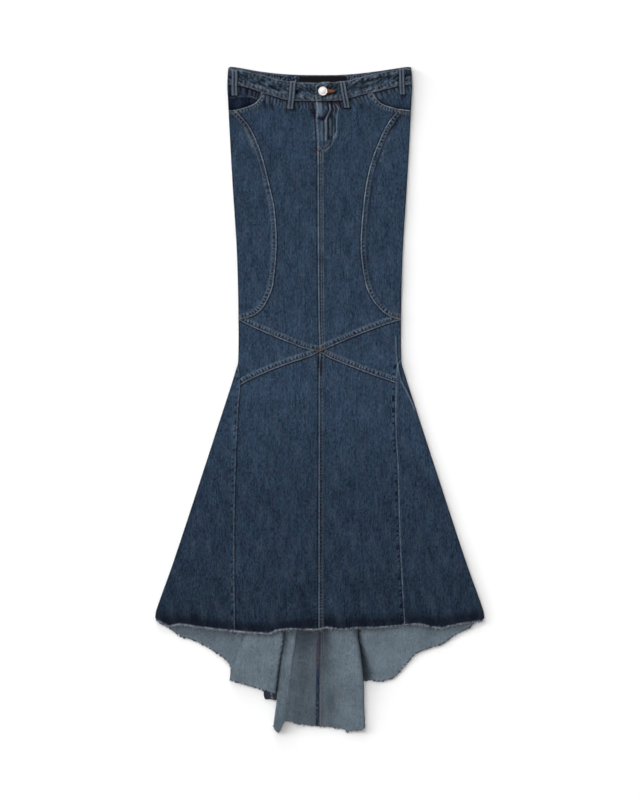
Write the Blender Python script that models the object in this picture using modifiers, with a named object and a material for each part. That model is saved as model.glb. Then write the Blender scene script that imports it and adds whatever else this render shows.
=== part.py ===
"""A long denim fishtail skirt with a train, laid flat on its back panels.

Metres, +Z up, +Y towards the waist, +X towards the wearer's left.  The origin
is under the middle of the laid skirt, on the surface that it rests on.
Plan tables are in millimetres: x across the skirt, y along it.
"""

import math

import bmesh
import bpy
import numpy as np

MM = 0.001

# Cloth and make-up
CLOTH = 1.0  # thickness of one denim layer
BAND = 1.6  # waistband, two layers and its turned edge
LOOP = 1.4  # belt loop, folded in three
LABEL = 0.8
SEAM_GAP = 0.3  # between neighbouring pieces
LAYER = CLOTH + SEAM_GAP  # from one laid layer to the next
FOLD = 2 * CLOTH + SEAM_GAP  # two layers pressed into one fold
TAB_LIFT = BAND + SEAM_GAP  # the waistband's overlap over its other end
TAB_END = 34.0  # x where the overlap has come down again

# Sampling of the plan curves and of the laid sheets
STEPS = 3  # straight runs for each table step of a curve
FRONT_AREA = (-345, 345, -492, 690)  # x and y range of the sheet that the front is cut from
FRONT_CELLS = (22, 28)
BAND_AREA = (-200, 200, 576, 690)
BAND_CELLS = (30, 3)

# Side edge, symmetric: y, half width
SIDE_EDGE = [
    (664, 183.3),
    (630, 185.0),
    (600, 183.6),
    (540, 180.5),
    (480, 177.3),
    (420, 173.7),
    (360, 169.7),
    (300, 166.1),
    (240, 164.0),
    (180, 162.8),
    (120, 162.4),
    (90, 162.8),
    (74, 163.6),
    (60, 167.7),
    (30, 176.9),
    (0, 186.7),
    (-150, 235.5),
    (-330, 294.8),
    (-420, 326.9),
    (-436, 329.45),
]
KNEE = 74.0  # where the gores open and the sides flare
CORNER_Y = -441.0  # front hem corner
CORNER_X = 326.0

# Waist edges and waistband seams: x, y
BACK_WAIST = [(-183.3, 664), (-178, 666.15), (-160, 664), (-120, 657), (-80, 652.3), (-40, 650),
              (0, 649.6), (40, 650), (80, 653), (120, 658), (160, 664), (178, 666.15), (183.3, 664)]
FRONT_WAIST = [(-183.2, 663), (-172, 663.6), (-158, 661), (-140, 657), (-120, 652.5), (-100, 647),
               (-80, 641.6), (-60, 637.6), (-40, 635.4), (-20, 635), (8, 635.6)]
TAB_EDGE = [(-7.5, 597.3), (-9.5, 602), (-9.7, 618), (-9.5, 626), (-5.5, 632), (1, 635), (8, 636)]
FRONT_WAIST_LEFT = [(8, 636), (25, 636.4), (40, 637), (50, 638.4), (60, 640.5), (80, 646.3),
                    (100, 651.6), (116, 655.2), (140, 660), (160, 663), (172, 664), (183.2, 663)]
BAND_SEAM = [(-185, 630), (-160, 627.4), (-150, 625.4), (-140, 622.6), (-117.9, 614.8),
             (-100, 609.4), (-80, 602.8), (-66, 598.8), (-50, 597.6), (-30, 597), (-8.5, 597),
             (20, 597), (40, 598), (60, 602.4), (80, 608.4), (106, 614.6), (120, 617.4),
             (140, 622.4), (156, 626.4), (172, 629), (185, 630)]
BACK_BAND_SEAM = [(-185, 630), (-120, 621), (-60, 616), (0, 614.5), (60, 616), (120, 621), (185, 630)]

# Seams of the front: x, y
POCKET_RIGHT = [(-117.9, 614.8), (-118.4, 607), (-124, 599), (-132, 592), (-152, 584.2),
                (-170, 580), (-182.6, 579)]
POCKET_LEFT = [(106, 614.6), (110, 607), (116, 600), (122, 594.4), (130, 589.8), (145, 585),
               (158, 582), (182.6, 579)]
SIDE_CURVE_RIGHT = [(-170, 580), (-156, 566), (-142, 549), (-128, 522), (-114, 484), (-98, 420),
                    (-90, 380), (-86, 310), (-93, 231), (-100, 209), (-111, 188), (-126, 172),
                    (-143, 164.6), (-162.7, 160)]
SIDE_CURVE_LEFT = [(158, 582), (142, 562), (130, 543), (120, 521), (106, 486), (94, 440),
                   (86, 380), (81.6, 310), (86, 259), (94, 223), (106, 199), (121, 181),
                   (138, 167.6), (162.7, 160)]
CENTRE_UPPER = [(-8.5, 597), (-9, 560), (-6.6, 530), (-5.2, 480), (-4.9, 400), (-4.3, 250),
                (-3, 150), (-1, 96)]
CENTRE_LOWER = [(-1, 96), (-2.6, 60), (-3, -60), (-3.4, -260), (-3.5, -459.5)]
KNEE_UPPER_RIGHT = [(-162.7, 160), (-150, 153), (-130, 143.6), (-90, 126.4), (-50, 110),
                    (-30, 102.6), (-1, 96)]
KNEE_UPPER_LEFT = [(162.7, 160), (136, 152), (100, 139), (60, 123), (20, 105.6), (-1, 96)]
KNEE_LOWER_RIGHT = [(-1, 96), (-20, 86.6), (-60, 73.4), (-100, 58), (-140, 40), (-158.5, 30)]
KNEE_LOWER_LEFT = [(-1, 96), (20, 84), (60, 67.6), (100, 52), (130, 41.6), (151.2, 34)]
GORE_RIGHT = [(-163.6, KNEE), (-160.5, 58), (-158.5, 30), (-162, -10), (-167, -116),
              (-170, -240), (-170, -360), (-168.4, -463)]
GORE_LEFT = [(163.1, 84), (155.5, 72), (152, 52), (151.2, 34), (151, -60), (155, -132),
             (159, -272), (164.4, -380), (168.4, -450)]
FRONT_HEM = [(-CORNER_X, CORNER_Y), (-310, -449), (-300, -452.6), (-280, -449.4), (-240, -455),
             (-168.4, -463), (-130, -466), (-98, -466.4), (-86, -461), (-60, -458),
             (-3.5, -459.5), (12, -455.4), (36, -457.4), (80, -455), (130, -454),
             (168.4, -450), (200, -449), (240, -456), (264, -451), (296, -445.4),
             (CORNER_X, CORNER_Y)]

# The back: straight seams, and the train that lies open beyond the front hem
BACK_SEAM_Y = 62.0  # knee seam at the centre back
GORE_STRAIGHT = -310.0  # the back gore seams run straight to here, then turn under the folds
GORE_STRAIGHT_X = 170.0
CENTRE_BACK = [(0, BACK_SEAM_Y), (0, -300), (0.5, -464), (-1.5, -651.5)]
GORE_HEM_RIGHT = [(-CORNER_X, CORNER_Y), (-308, -452), (-290, -464.4), (-280, -472.6), (-262, -476.6),
                  (-246, -483), (-214, -501), (-186, -521), (-178.6, -533), (-160, -548),
                  (-130, -562), (-112, -568)]
GORE_UNDER_RIGHT = [(-112, -568), (-122, -520), (-135, -464), (-145, -420), (-151, -380),
                    (-160, -350), (-168.6, -330), (-GORE_STRAIGHT_X, GORE_STRAIGHT)]
GORE_HEM_LEFT = [(CORNER_X, CORNER_Y), (310, -446), (298, -456), (282, -464), (264, -473.6),
                 (250, -485), (230, -492.4), (212, -499), (192, -507), (174, -527), (160, -543),
                 (148, -555), (130, -560.4), (116, -563), (104, -560), (84, -562), (56, -561)]
GORE_UNDER_LEFT = [(56, -561), (55, -510), (60, -475), (88, -442), (101, -410), (119, -380),
                   (141, -355), (159, -330), (GORE_STRAIGHT_X - 10, GORE_STRAIGHT)]

# Edges of the train's middle section, from the straight gore seam down to its hem: x, y
RAISED_EDGE = [(-GORE_STRAIGHT_X, GORE_STRAIGHT), (-166, -330), (-140, -355), (-110, -380),
               (-88, -410), (-75, -440), (-71, -464), (-72.4, -490), (-77, -520), (-82, -560),
               (-86.4, -600), (-91, -636), (-92.4, -650), (-92.4, -668)]
OPEN_EDGE = [(GORE_STRAIGHT_X - 10, GORE_STRAIGHT), (157, -330), (135, -355), (112, -380), (95, -410),
             (82, -440), (76, -464), (81, -500), (85, -532), (88, -570), (88.6, -610), (91, -654),
             (91, -668)]
RAISED_TOP = [(-46, -464), (-49, -490), (-54, -520), (-58, -560), (-62.6, -594), (-72, -640)]

# Hem of the middle section: share of the way from its edge to the centre back, y
RAISED_HEM = [(0, -650), (0.012, -656), (0.05, -662.6), (0.11, -665.85), (0.17, -657), (0.22, -643),
              (0.27, -640.4), (0.36, -642.6), (0.46, -645.4), (0.58, -648.4), (0.72, -650.4),
              (0.86, -651), (1, -651.5)]
OPEN_HEM = [(0, -652), (0.012, -654.4), (0.05, -657), (0.12, -660), (0.2, -660.2), (0.33, -661),
            (0.395, -663.6), (0.46, -659.2), (0.55, -656), (0.66, -654.6), (0.74, -653.6),
            (0.87, -652.2), (1, -651.5)]
# Rows of the middle section, as shares of its length from the knee seam to the hem
TRAIN_ROWS = [0, 0.25, 0.5, 0.54, 0.57, 0.6, 0.63, 0.66, 0.69, 0.72, 0.76, 0.8, 0.84, 0.88,
              0.91, 0.94, 0.97, 0.99, 1]

# The layer folded under the raised strip, and the turned corner that shows below it: x, y
FOLD_LAYER = [(-34, -385), (-118, -385), (-132, -402), (-143, -432), (-151, -462), (-166, -503),
              (-178, -534), (-180, -546), (-179.6, -558), (-176, -561), (-154, -567), (-124, -576),
              (-90, -587), (-52, -592), (-48, -560), (-44, -520), (-36, -468)]
TURNED_CORNER = [(-112, -570), (-110, -597), (-98, -598.4), (-87, -600.5), (-70, -602),
                 (-60, -592), (-60, -570)]
SEAM_ALLOWANCE = 7.0  # turned to one side of the centre back seam
ALLOWANCE_TOP = -461.0  # just clear of the front hem

# Heights above the surface, in millimetres
STRIP_LIFT = 3 * LAYER  # over the gore and the folded layer
OPEN_LIFT = LAYER  # over the left gore
STRIP_CROWN = 5.2  # how far the raised strip stands up past its two layers, clear of the front hem
EDGE_CROWN = 3.4  # the same at the open edge
SLOPE = 34.0  # width of the run down from the strip
FRONT_START = -300.0  # the front starts to rise here and is up by FRONT_UP
FRONT_UP = -420.0
TRAIN_START = -340.0
TRAIN_UP = -450.0

# Soft folds of the laid front: x and y of the two ends, width, height
SOFT_FOLDS = [
    (-120, 330, -60, 430, 46, 0.7),
    (118, 250, 84, 400, 50, 0.8),
    (-60, 60, -150, -360, 60, 0.9),
    (50, 40, 96, -330, 64, 0.9),
    (-190, -120, -262, -410, 50, 0.7),
    (196, -150, 268, -420, 56, 0.8),
    (-96, 180, -40, 240, 36, 0.5),
    (60, 150, 20, 250, 40, 0.5),
]

# Belt loops: name, x and y of the top, x and y of the bottom, width
BELT_LOOPS = [
    ("belt_loop_right_side", -170.5, 659, -170.5, 608, 13.5),
    ("belt_loop_right_front", -53.3, 637, -59, 581, 13.5),
    ("belt_loop_left_front", 44.5, 637, 54.5, 583.5, 13),
    ("belt_loop_left_side", 163, 662.4, 165, 610.4, 12),
]
LOOP_ROWS = 8
LOOP_BOW = 0.9
LOOP_SEAT = 0.5  # over the uneven cloth at its two ends

LABEL_X = (-40.5, 53.5)
LABEL_Y = (623.0, 647.5)

BUTTON_AT = (6.3, 616.6)
# Turned profile of the button, top to bottom: radius, height
BUTTON_PROFILE = [(0.0, 2.7), (4.6, 2.5), (6.2, 2.2), (7.0, 2.5), (8.2, 2.4), (8.9, 1.8),
                  (9.1, 1.1), (8.6, 0.5), (7.4, 0.3), (4.2, 0.3), (4.2, 0.0), (0.0, 0.0)]
BUTTON_SIDES = 32


def smooth_step(value, start, end):
    """0 at start and before it, 1 at end and after it, with a soft run between."""
    share = min(max((value - start) / (end - start), 0.0), 1.0)
    return share * share * (3 - 2 * share)


def curve_through(points, steps=STEPS):
    """A smooth plan curve through the points, as straight runs; every point stays on it."""
    line = [np.array(point, float) for point in points]
    ends = [2 * line[0] - line[1]] + line + [2 * line[-1] - line[-2]]
    found = []
    for before, start, end, after in zip(ends, ends[1:], ends[2:], ends[3:]):
        gap = np.linalg.norm(end - start)
        leave = (end - before) * gap / np.linalg.norm(end - before)
        reach = (after - start) * gap / np.linalg.norm(after - start)
        for step in range(steps):
            t = step / steps
            found.append(
                (2 * t**3 - 3 * t**2 + 1) * start
                + (t**3 - 2 * t**2 + t) * leave
                + (3 * t**2 - 2 * t**3) * end
                + (t**3 - t**2) * reach
            )
    return found + [line[-1]]


def across(curve, along, axis=1):
    """The other coordinate of a plan curve where the one on this axis equals along."""
    ordered = sorted((point[axis], point[1 - axis]) for point in curve)
    return float(np.interp(along, [a for a, _ in ordered], [b for _, b in ordered]))


def stretch(curve, start, end, axis):
    """The part of a plan curve between two values of one coordinate, ends included."""
    low, high = min(start, end), max(start, end)
    kept = [point for point in curve if low + 0.02 < point[axis] < high - 0.02]
    cut = []
    for value in (start, end):
        point = np.zeros(2)
        point[axis] = value
        point[1 - axis] = across(curve, value, axis)
        cut.append(point)
    kept.sort(key=lambda point: point[axis], reverse=start > end)
    return [cut[0]] + kept + [cut[1]]


def side(sign, start, end):
    """The skirt's side edge between two heights, on the wearer's right (-1) or left (+1)."""
    curve = [np.array((sign * half, y)) for y, half in SIDE_EDGE]
    return stretch(curve, start, end, 1)


def closed(*runs):
    """One outline from plan curves end to end, with each joining point kept once."""
    outline = []
    for run in runs:
        for point in run:
            if not outline or np.linalg.norm(point - outline[-1]) > 0.2:
                outline.append(np.array(point, float))
    if np.linalg.norm(outline[0] - outline[-1]) <= 0.2:
        outline.pop()
    return outline


def drawn_in(outline, distance=SEAM_GAP / 2):
    """The outline moved inwards, anticlockwise, so that neighbours keep the seam gap."""
    turn = sum(a[0] * b[1] - b[0] * a[1] for a, b in zip(outline, outline[1:] + outline[:1]))
    if turn < 0:
        outline = outline[::-1]
    moved = []
    for before, point, after in zip(outline[-1:] + outline, outline, outline[1:] + outline[:1]):
        first = (point - before) / np.linalg.norm(point - before)
        second = (after - point) / np.linalg.norm(after - point)
        inward = np.array((-first[1] - second[1], first[0] + second[0]))
        reach = distance / max(1 + first @ second, 0.02)
        moved.append(point + inward * reach)
    return moved


def front_floor(x, y):
    """Height of the underside of the laid front, in millimetres above the surface."""
    up = smooth_step(-y, -FRONT_START, -FRONT_UP)
    over_fold = smooth_step(x, -198, -156) * smooth_step(-x, 4, 46)
    over_strip = smooth_step(x, -128, -95) * smooth_step(-x, 4, 46)
    over_edge = smooth_step(x, 6, 34) * smooth_step(-x, -150, -94)
    waist = smooth_step(y, 556, 604)
    label = smooth_step(x, -120, -52) * smooth_step(-x, -130, -64)
    height = LAYER + up * (2.7 * over_fold + 2.4 * over_strip + 2.8 * over_edge)
    height += waist * (0.65 + 1.15 * label)
    for x0, y0, x1, y1, width, rise in SOFT_FOLDS:
        run = np.array((x1 - x0, y1 - y0), float)
        share = ((x - x0) * run[0] + (y - y0) * run[1]) / (run @ run)
        near = min(max(share, 0.0), 1.0)
        off = math.hypot(x - x0 - near * run[0], y - y0 - near * run[1])
        height += rise * math.exp(-((off / (0.5 * width)) ** 2))
    return height


def tab_floor(x, y):
    """Underside of the left waistband, whose tab lies over the right end."""
    return front_floor(x, y) + TAB_LIFT * smooth_step(-x, -TAB_END, -TAB_END + 18)


def material(name, colour, roughness, metallic=0.0):
    made = bpy.data.materials.new(name)
    made.use_nodes = True
    shader = made.node_tree.nodes["Principled BSDF"]
    shader.inputs["Base Color"].default_value = (*colour, 1.0)
    shader.inputs["Roughness"].default_value = roughness
    shader.inputs["Metallic"].default_value = metallic
    return made


def add_object(name, mesh, group, look=None):
    made = bpy.data.objects.new(name, mesh)
    group.objects.link(made)
    if look:
        mesh.materials.clear()
        mesh.materials.append(look)
    return made


def slab(name, outline, low, high, group, look=None):
    """A flat outline between two heights, its caps welded to its sides."""
    curve = bpy.data.curves.new(name, "CURVE")
    curve.dimensions = "2D"
    curve.fill_mode = "BOTH"
    curve.extrude = (high - low) / 2 * MM
    spline = curve.splines.new("POLY")
    spline.points.add(len(outline) - 1)
    for point, (x, y) in zip(spline.points, outline):
        point.co = (x * MM, y * MM, 0, 1)
    spline.use_cyclic_u = True
    drawn = bpy.data.objects.new(name + "_outline", curve)
    group.objects.link(drawn)
    bpy.context.view_layer.update()
    mesh = bpy.data.meshes.new_from_object(drawn.evaluated_get(bpy.context.evaluated_depsgraph_get()))
    bpy.data.objects.remove(drawn)
    mesh.name = name
    shape = bmesh.new()
    shape.from_mesh(mesh)
    bmesh.ops.remove_doubles(shape, verts=shape.verts, dist=0.00001)
    bmesh.ops.recalc_face_normals(shape, faces=shape.faces)
    bmesh.ops.translate(shape, verts=shape.verts, vec=(0, 0, (low + high) / 2 * MM))
    shape.to_mesh(mesh)
    shape.free()
    return add_object(name, mesh, group, look)


def sheet(name, columns, rows, place, thick, group, look=None, thin=None):
    """A laid sheet: a grid whose point (column, row) goes where place puts it, then made solid upwards.

    With thin given, place also returns how thick the sheet is there, from thin to thick.
    """
    shape = bmesh.new()
    bmesh.ops.create_grid(shape, x_segments=columns, y_segments=rows, size=0.5)
    depths = []
    for vertex in shape.verts:
        column = round((vertex.co.x + 0.5) * columns)
        row = round((vertex.co.y + 0.5) * rows)
        x, y, z, *depth = place(column, row)
        vertex.co = (x * MM, y * MM, z * MM)
        depths += depth
    bmesh.ops.recalc_face_normals(shape, faces=shape.faces)
    if sum(face.normal.z for face in shape.faces) < 0:
        bmesh.ops.reverse_faces(shape, faces=shape.faces)
    mesh = bpy.data.meshes.new(name)
    shape.to_mesh(mesh)
    shape.free()
    made = add_object(name, mesh, group, look)
    solid = made.modifiers.new("Wall", "SOLIDIFY")
    solid.thickness = thick * MM
    solid.offset = 1.0
    if thin:
        layers = made.vertex_groups.new(name="layers")
        for index, depth in enumerate(depths):
            layers.add([index], (depth - thin) / (thick - thin), "REPLACE")
        solid.vertex_group = "layers"
        solid.thickness_vertex_group = thin / thick
    return made


def cut_from(piece, laid):
    """Keeps what a flat outline shares with a laid sheet."""
    cut = piece.modifiers.new("Laid", "BOOLEAN")
    cut.operation = "INTERSECT"
    cut.object = laid


def joined_with(piece, other):
    union = piece.modifiers.new(other.name, "BOOLEAN")
    union.operation = "UNION"
    union.object = other


def as_guide(made):
    made.hide_render = True
    made.display_type = "WIRE"
    return made


def laid_guide(name, floor, thick, area, cells, group):
    """A laid sheet of this thickness over an area, to cut pieces from."""
    left, right, bottom, top = area
    columns, rows = cells

    def place(column, row):
        x = left + (right - left) * column / columns
        y = bottom + (top - bottom) * row / rows
        return x, y, floor(x, y)

    return as_guide(sheet(name, columns, rows, place, thick, group))


def front_outlines():
    """Plan outlines of the front pieces, by node name, seam to seam."""
    seam = curve_through(BAND_SEAM)
    hem = curve_through(FRONT_HEM, 2)
    centre_upper = curve_through(CENTRE_UPPER, 2)
    centre_lower = curve_through(CENTRE_LOWER, 2)
    found = {}
    tables = [
        ("right", -1, POCKET_RIGHT, SIDE_CURVE_RIGHT, KNEE_UPPER_RIGHT, KNEE_LOWER_RIGHT, GORE_RIGHT),
        ("left", 1, POCKET_LEFT, SIDE_CURVE_LEFT, KNEE_UPPER_LEFT, KNEE_LOWER_LEFT, GORE_LEFT),
    ]
    for name, sign, pocket, side_curve, knee_upper, knee_lower, gore in tables:
        mouth = curve_through(pocket)
        curved = curve_through(side_curve)
        upper = curve_through(knee_upper)
        lower = curve_through(knee_lower)
        gore_seam = curve_through(gore)
        mouth_x, mouth_y = pocket[-1]
        meet_x, meet_y = side_curve[0]
        knee_y = side_curve[-1][1]
        lower_x, lower_y = knee_lower[-1]
        inner_mouth = [point for point in mouth if sign * (meet_x - point[0]) > 0.02]
        outer_mouth = [point for point in mouth if sign * (point[0] - meet_x) > 0.02]
        found["pocket_facing_" + name] = closed(
            stretch(seam, pocket[0][0], sign * 185, 0), side(sign, 629.9, mouth_y), mouth[::-1]
        )
        found["front_upper_" + name] = closed(
            stretch(seam, CENTRE_UPPER[0][0], pocket[0][0], 0), inner_mouth, curved,
            upper, centre_upper[::-1],
        )
        found["side_panel_" + name] = closed(
            curved[:1], outer_mouth, side(sign, mouth_y, knee_y), curved[::-1]
        )
        found["knee_panel_" + name] = closed(
            upper, lower, stretch(gore_seam, lower_y, gore[0][1], 1), side(sign, gore[0][1], knee_y)
        )
        found["flare_front_" + name] = closed(
            lower, stretch(gore_seam, lower_y, gore[-1][1], 1),
            stretch(hem, gore[-1][0], CENTRE_LOWER[-1][0], 0), centre_lower[::-1],
        )
        found["gore_front_" + name] = closed(
            gore_seam, stretch(hem, gore[-1][0], sign * CORNER_X, 0), side(sign, -436, gore[0][1])
        )
    return found


def build_front(parts, guides, denim):
    cloth = laid_guide("laid_front", front_floor, CLOTH, FRONT_AREA, FRONT_CELLS, guides)
    for name, outline in front_outlines().items():
        piece = slab(name, drawn_in(outline), 0.5, 14, parts, denim)
        cut_from(piece, cloth)


def build_waistband(parts, guides, denim, black):
    seam = curve_through(BAND_SEAM)
    back_top = curve_through(BACK_WAIST)
    back_seam = curve_through(BACK_BAND_SEAM)
    band = laid_guide("laid_band", front_floor, BAND, BAND_AREA, BAND_CELLS, guides)
    tab = laid_guide("laid_tab", tab_floor, BAND, BAND_AREA, BAND_CELLS, guides)
    right = closed(
        curve_through(FRONT_WAIST), stretch(seam, FRONT_WAIST[-1][0], -185, 0), side(-1, 630.1, 662.9)
    )
    left = closed(
        curve_through(TAB_EDGE), curve_through(FRONT_WAIST_LEFT), side(1, 662.9, 630.1),
        stretch(seam, 185, TAB_EDGE[0][0], 0),
    )
    for name, outline, laid in (
        ("waistband_front_right", right, band),
        ("waistband_front_left", left, tab),
    ):
        cut_from(slab(name, drawn_in(outline), 0.5, 14, parts, denim), laid)
    back = closed(back_top, side(1, 663.9, 630.1), back_seam[::-1], side(-1, 630.1, 663.9))
    slab("waistband_back", drawn_in(back), 0, BAND, parts, denim)
    low = BAND + SEAM_GAP
    corners = [(x, y) for x, y in zip((*LABEL_X, *LABEL_X[::-1]), (LABEL_Y[0],) * 2 + (LABEL_Y[1],) * 2)]
    slab("waist_label", corners, low, low + LABEL, parts, black)


def build_belt_loops(parts, denim):
    for name, top_x, top_y, end_x, end_y, width in BELT_LOOPS:

        def place(column, row):
            share = row / LOOP_ROWS
            x = top_x + (end_x - top_x) * share + (column - 1) * width / 2
            y = top_y + (end_y - top_y) * share
            seam_y = across(BAND_SEAM, x, 0)
            under = BAND if y > seam_y - 4 else CLOTH
            height = front_floor(x, y) + under + LOOP_SEAT
            return x, y, height + LOOP_BOW * math.sin(math.pi * share)

        sheet(name, 2, LOOP_ROWS, place, LOOP, parts, denim)


def build_button(parts, metal):
    x, y = BUTTON_AT
    base = tab_floor(x, y) + BAND + SEAM_GAP
    shape = bmesh.new()
    ring = [shape.verts.new((radius * MM, 0, height * MM)) for radius, height in BUTTON_PROFILE]
    for start, end in zip(ring, ring[1:]):
        shape.edges.new((start, end))
    mesh = bpy.data.meshes.new("waist_button")
    shape.to_mesh(mesh)
    shape.free()
    button = add_object("waist_button", mesh, parts, metal)
    button.location = (x * MM, y * MM, base * MM)
    turned = button.modifiers.new("Turned", "SCREW")
    turned.steps = BUTTON_SIDES
    turned.render_steps = BUTTON_SIDES
    turned.use_merge_vertices = True
    turned.merge_threshold = 0.00005
    turned.use_smooth_shade = True


def build_back_upper(parts, denim):
    seam = curve_through(BACK_BAND_SEAM)
    for name, sign in (("right", -1), ("left", 1)):
        outline = closed(
            stretch(seam, 0, sign * 185, 0),
            side(sign, 629.9, KNEE),
            [np.array((0.0, BACK_SEAM_Y))],
        )
        slab("back_upper_" + name, drawn_in(outline), 0, CLOTH, parts, denim)


def build_back_gores(parts, denim):
    for name, sign, seam_x, hem, under in (
        ("right", -1, -GORE_STRAIGHT_X, GORE_HEM_RIGHT, GORE_UNDER_RIGHT),
        ("left", 1, GORE_STRAIGHT_X - 10, GORE_HEM_LEFT, GORE_UNDER_LEFT),
    ):
        outline = closed(
            [np.array((sign * 163.6, KNEE))],
            side(sign, KNEE - 0.5, -436),
            curve_through(hem, 2),
            curve_through(under, 2),
            [np.array((seam_x, GORE_STRAIGHT))],
        )
        slab("back_gore_" + name, drawn_in(outline), 0, CLOTH, parts, denim)


def train_place(edge, hem, sign, floor):
    """Where the points of the train's middle section lie, from its edge (column 0) to the centre back."""
    edge_line = curve_through(edge)
    centre_line = [np.array(point, float) for point in CENTRE_BACK]
    seam_x, seam_y = edge[0]

    def edge_x(y):
        if y >= seam_y:
            share = (KNEE - y) / (KNEE - seam_y)
            return sign * 163.6 + (seam_x - sign * 163.6) * share
        return across(edge_line, y)

    def place(column, row):
        inward, hem_y = hem[column]
        top_y = KNEE - (KNEE - BACK_SEAM_Y) * inward
        share = TRAIN_ROWS[row]
        y = top_y + (hem_y - top_y) * share
        if row == 0:
            y -= SEAM_GAP / 2
        gap = -sign * SEAM_GAP / 2
        start = edge_x(y) + gap
        end = across(centre_line, y) - gap
        x = start + (end - start) * inward
        return x, y, *floor(x, y, abs(x - start))

    return place


def raised_floor(x, y, inset):
    """Underside and thickness of the train's right half, whose hidden layers fill the raised strip."""
    up = smooth_step(-y, -TRAIN_START, -TRAIN_UP)
    strip_x = across(RAISED_TOP, min(max(y, RAISED_TOP[-1][1]), RAISED_TOP[0][1]))
    beside = 1 - smooth_step(x, strip_x, strip_x + SLOPE)
    droop = 1 - 0.85 * smooth_step(-y, 602, 666)
    crown = smooth_step(-y, 470, 530) * (1 - 0.75 * smooth_step(-y, 622, 664))
    spread = 8 + (SLOPE - 8) * smooth_step(-y, 464, 520)
    rounding = 1 - smooth_step(inset, 0, 3.6)
    layers = (CLOTH + STRIP_CROWN * crown) * (1 - smooth_step(x, strip_x - 6, strip_x + spread))
    thick = CLOTH + up * layers * (1 - 0.7 * rounding)
    return STRIP_LIFT * up * beside * droop + 0.4 * up * rounding, thick


def open_floor(x, y, inset):
    """Underside and thickness of the train's left half, folded under along its open edge."""
    up = smooth_step(-y, -TRAIN_START, -TRAIN_UP)
    beside = 1 - smooth_step(inset, 40, 58)
    droop = 1 - smooth_step(-y, 566, 622)
    crown = smooth_step(-y, 470, 540) * (1 - 0.4 * smooth_step(-y, 622, 654))
    rounding = 1 - smooth_step(inset, 0, 3.6)
    layers = (LAYER + EDGE_CROWN * crown) * (1 - smooth_step(inset, 6, 46)) * (1 - 0.7 * rounding)
    return OPEN_LIFT * up * beside * droop + 0.4 * up * rounding, CLOTH + up * layers


def build_train(parts, guides, denim):
    rows = len(TRAIN_ROWS) - 1
    columns = len(RAISED_HEM) - 1
    right = sheet(
        "back_flare_right", columns, rows,
        train_place(RAISED_EDGE, RAISED_HEM, -1, raised_floor), FOLD + STRIP_CROWN, parts, denim, CLOTH,
    )
    sheet(
        "back_flare_left", columns, rows,
        train_place(OPEN_EDGE, OPEN_HEM, 1, open_floor), FOLD + EDGE_CROWN, parts, denim, CLOTH,
    )
    fold = slab("folded_layer", closed(curve_through(FOLD_LAYER, 2)), LAYER, LAYER + FOLD, guides)
    rounded = fold.modifiers.new("Rounded fold", "BEVEL")
    rounded.width = 0.7 * MM
    rounded.segments = 2
    rounded.limit_method = "ANGLE"
    rounded.angle_limit = math.radians(60)
    corner = slab("turned_corner", closed(curve_through(TURNED_CORNER, 1)), LAYER, LAYER + CLOTH, guides)
    centre = [np.array(point, float) for point in CENTRE_BACK]
    seam_side = [np.array((across(centre, y) - 0.6, y)) for y in (ALLOWANCE_TOP, -520, -585, -651)]
    open_side = [point - np.array((SEAM_ALLOWANCE, 0.0)) for point in reversed(seam_side)]
    allowance = slab("seam_allowance", seam_side + open_side, 0.4, CLOTH + 0.9, guides)
    for other in (fold, corner, allowance):
        joined_with(right, as_guide(other))


def main():
    for old in list(bpy.data.objects):
        bpy.data.objects.remove(old)
    parts = bpy.data.collections.new("denim_skirt")
    guides = bpy.data.collections.new("cutting_guides")
    bpy.context.scene.collection.children.link(parts)
    bpy.context.scene.collection.children.link(guides)
    denim = material("denim_face", (0.028, 0.048, 0.080), 0.92)
    inside = material("denim_inside", (0.133, 0.168, 0.200), 0.94)
    black = material("woven_label", (0.012, 0.012, 0.014), 0.85)
    metal = material("button_metal", (0.72, 0.70, 0.68), 0.3, 1.0)
    build_front(parts, guides, denim)
    build_waistband(parts, guides, denim, black)
    build_belt_loops(parts, denim)
    build_button(parts, metal)
    build_back_upper(parts, inside)
    build_back_gores(parts, inside)
    build_train(parts, guides, inside)


main()
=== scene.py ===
import math

import bmesh
import bpy
import numpy as np
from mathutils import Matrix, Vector, geometry


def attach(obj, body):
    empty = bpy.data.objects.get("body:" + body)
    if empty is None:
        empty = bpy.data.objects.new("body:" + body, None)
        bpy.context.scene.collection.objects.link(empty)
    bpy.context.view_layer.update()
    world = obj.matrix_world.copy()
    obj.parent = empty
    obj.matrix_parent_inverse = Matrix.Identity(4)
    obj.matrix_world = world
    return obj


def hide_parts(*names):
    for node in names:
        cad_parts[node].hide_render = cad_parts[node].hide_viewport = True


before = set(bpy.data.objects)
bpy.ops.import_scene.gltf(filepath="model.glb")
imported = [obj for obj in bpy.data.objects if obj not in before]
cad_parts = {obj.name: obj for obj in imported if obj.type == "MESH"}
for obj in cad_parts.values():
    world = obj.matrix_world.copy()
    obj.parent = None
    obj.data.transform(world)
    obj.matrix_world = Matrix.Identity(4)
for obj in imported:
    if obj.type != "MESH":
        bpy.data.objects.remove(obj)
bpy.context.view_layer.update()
mm = 0.001
print("frame loaded")

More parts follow.
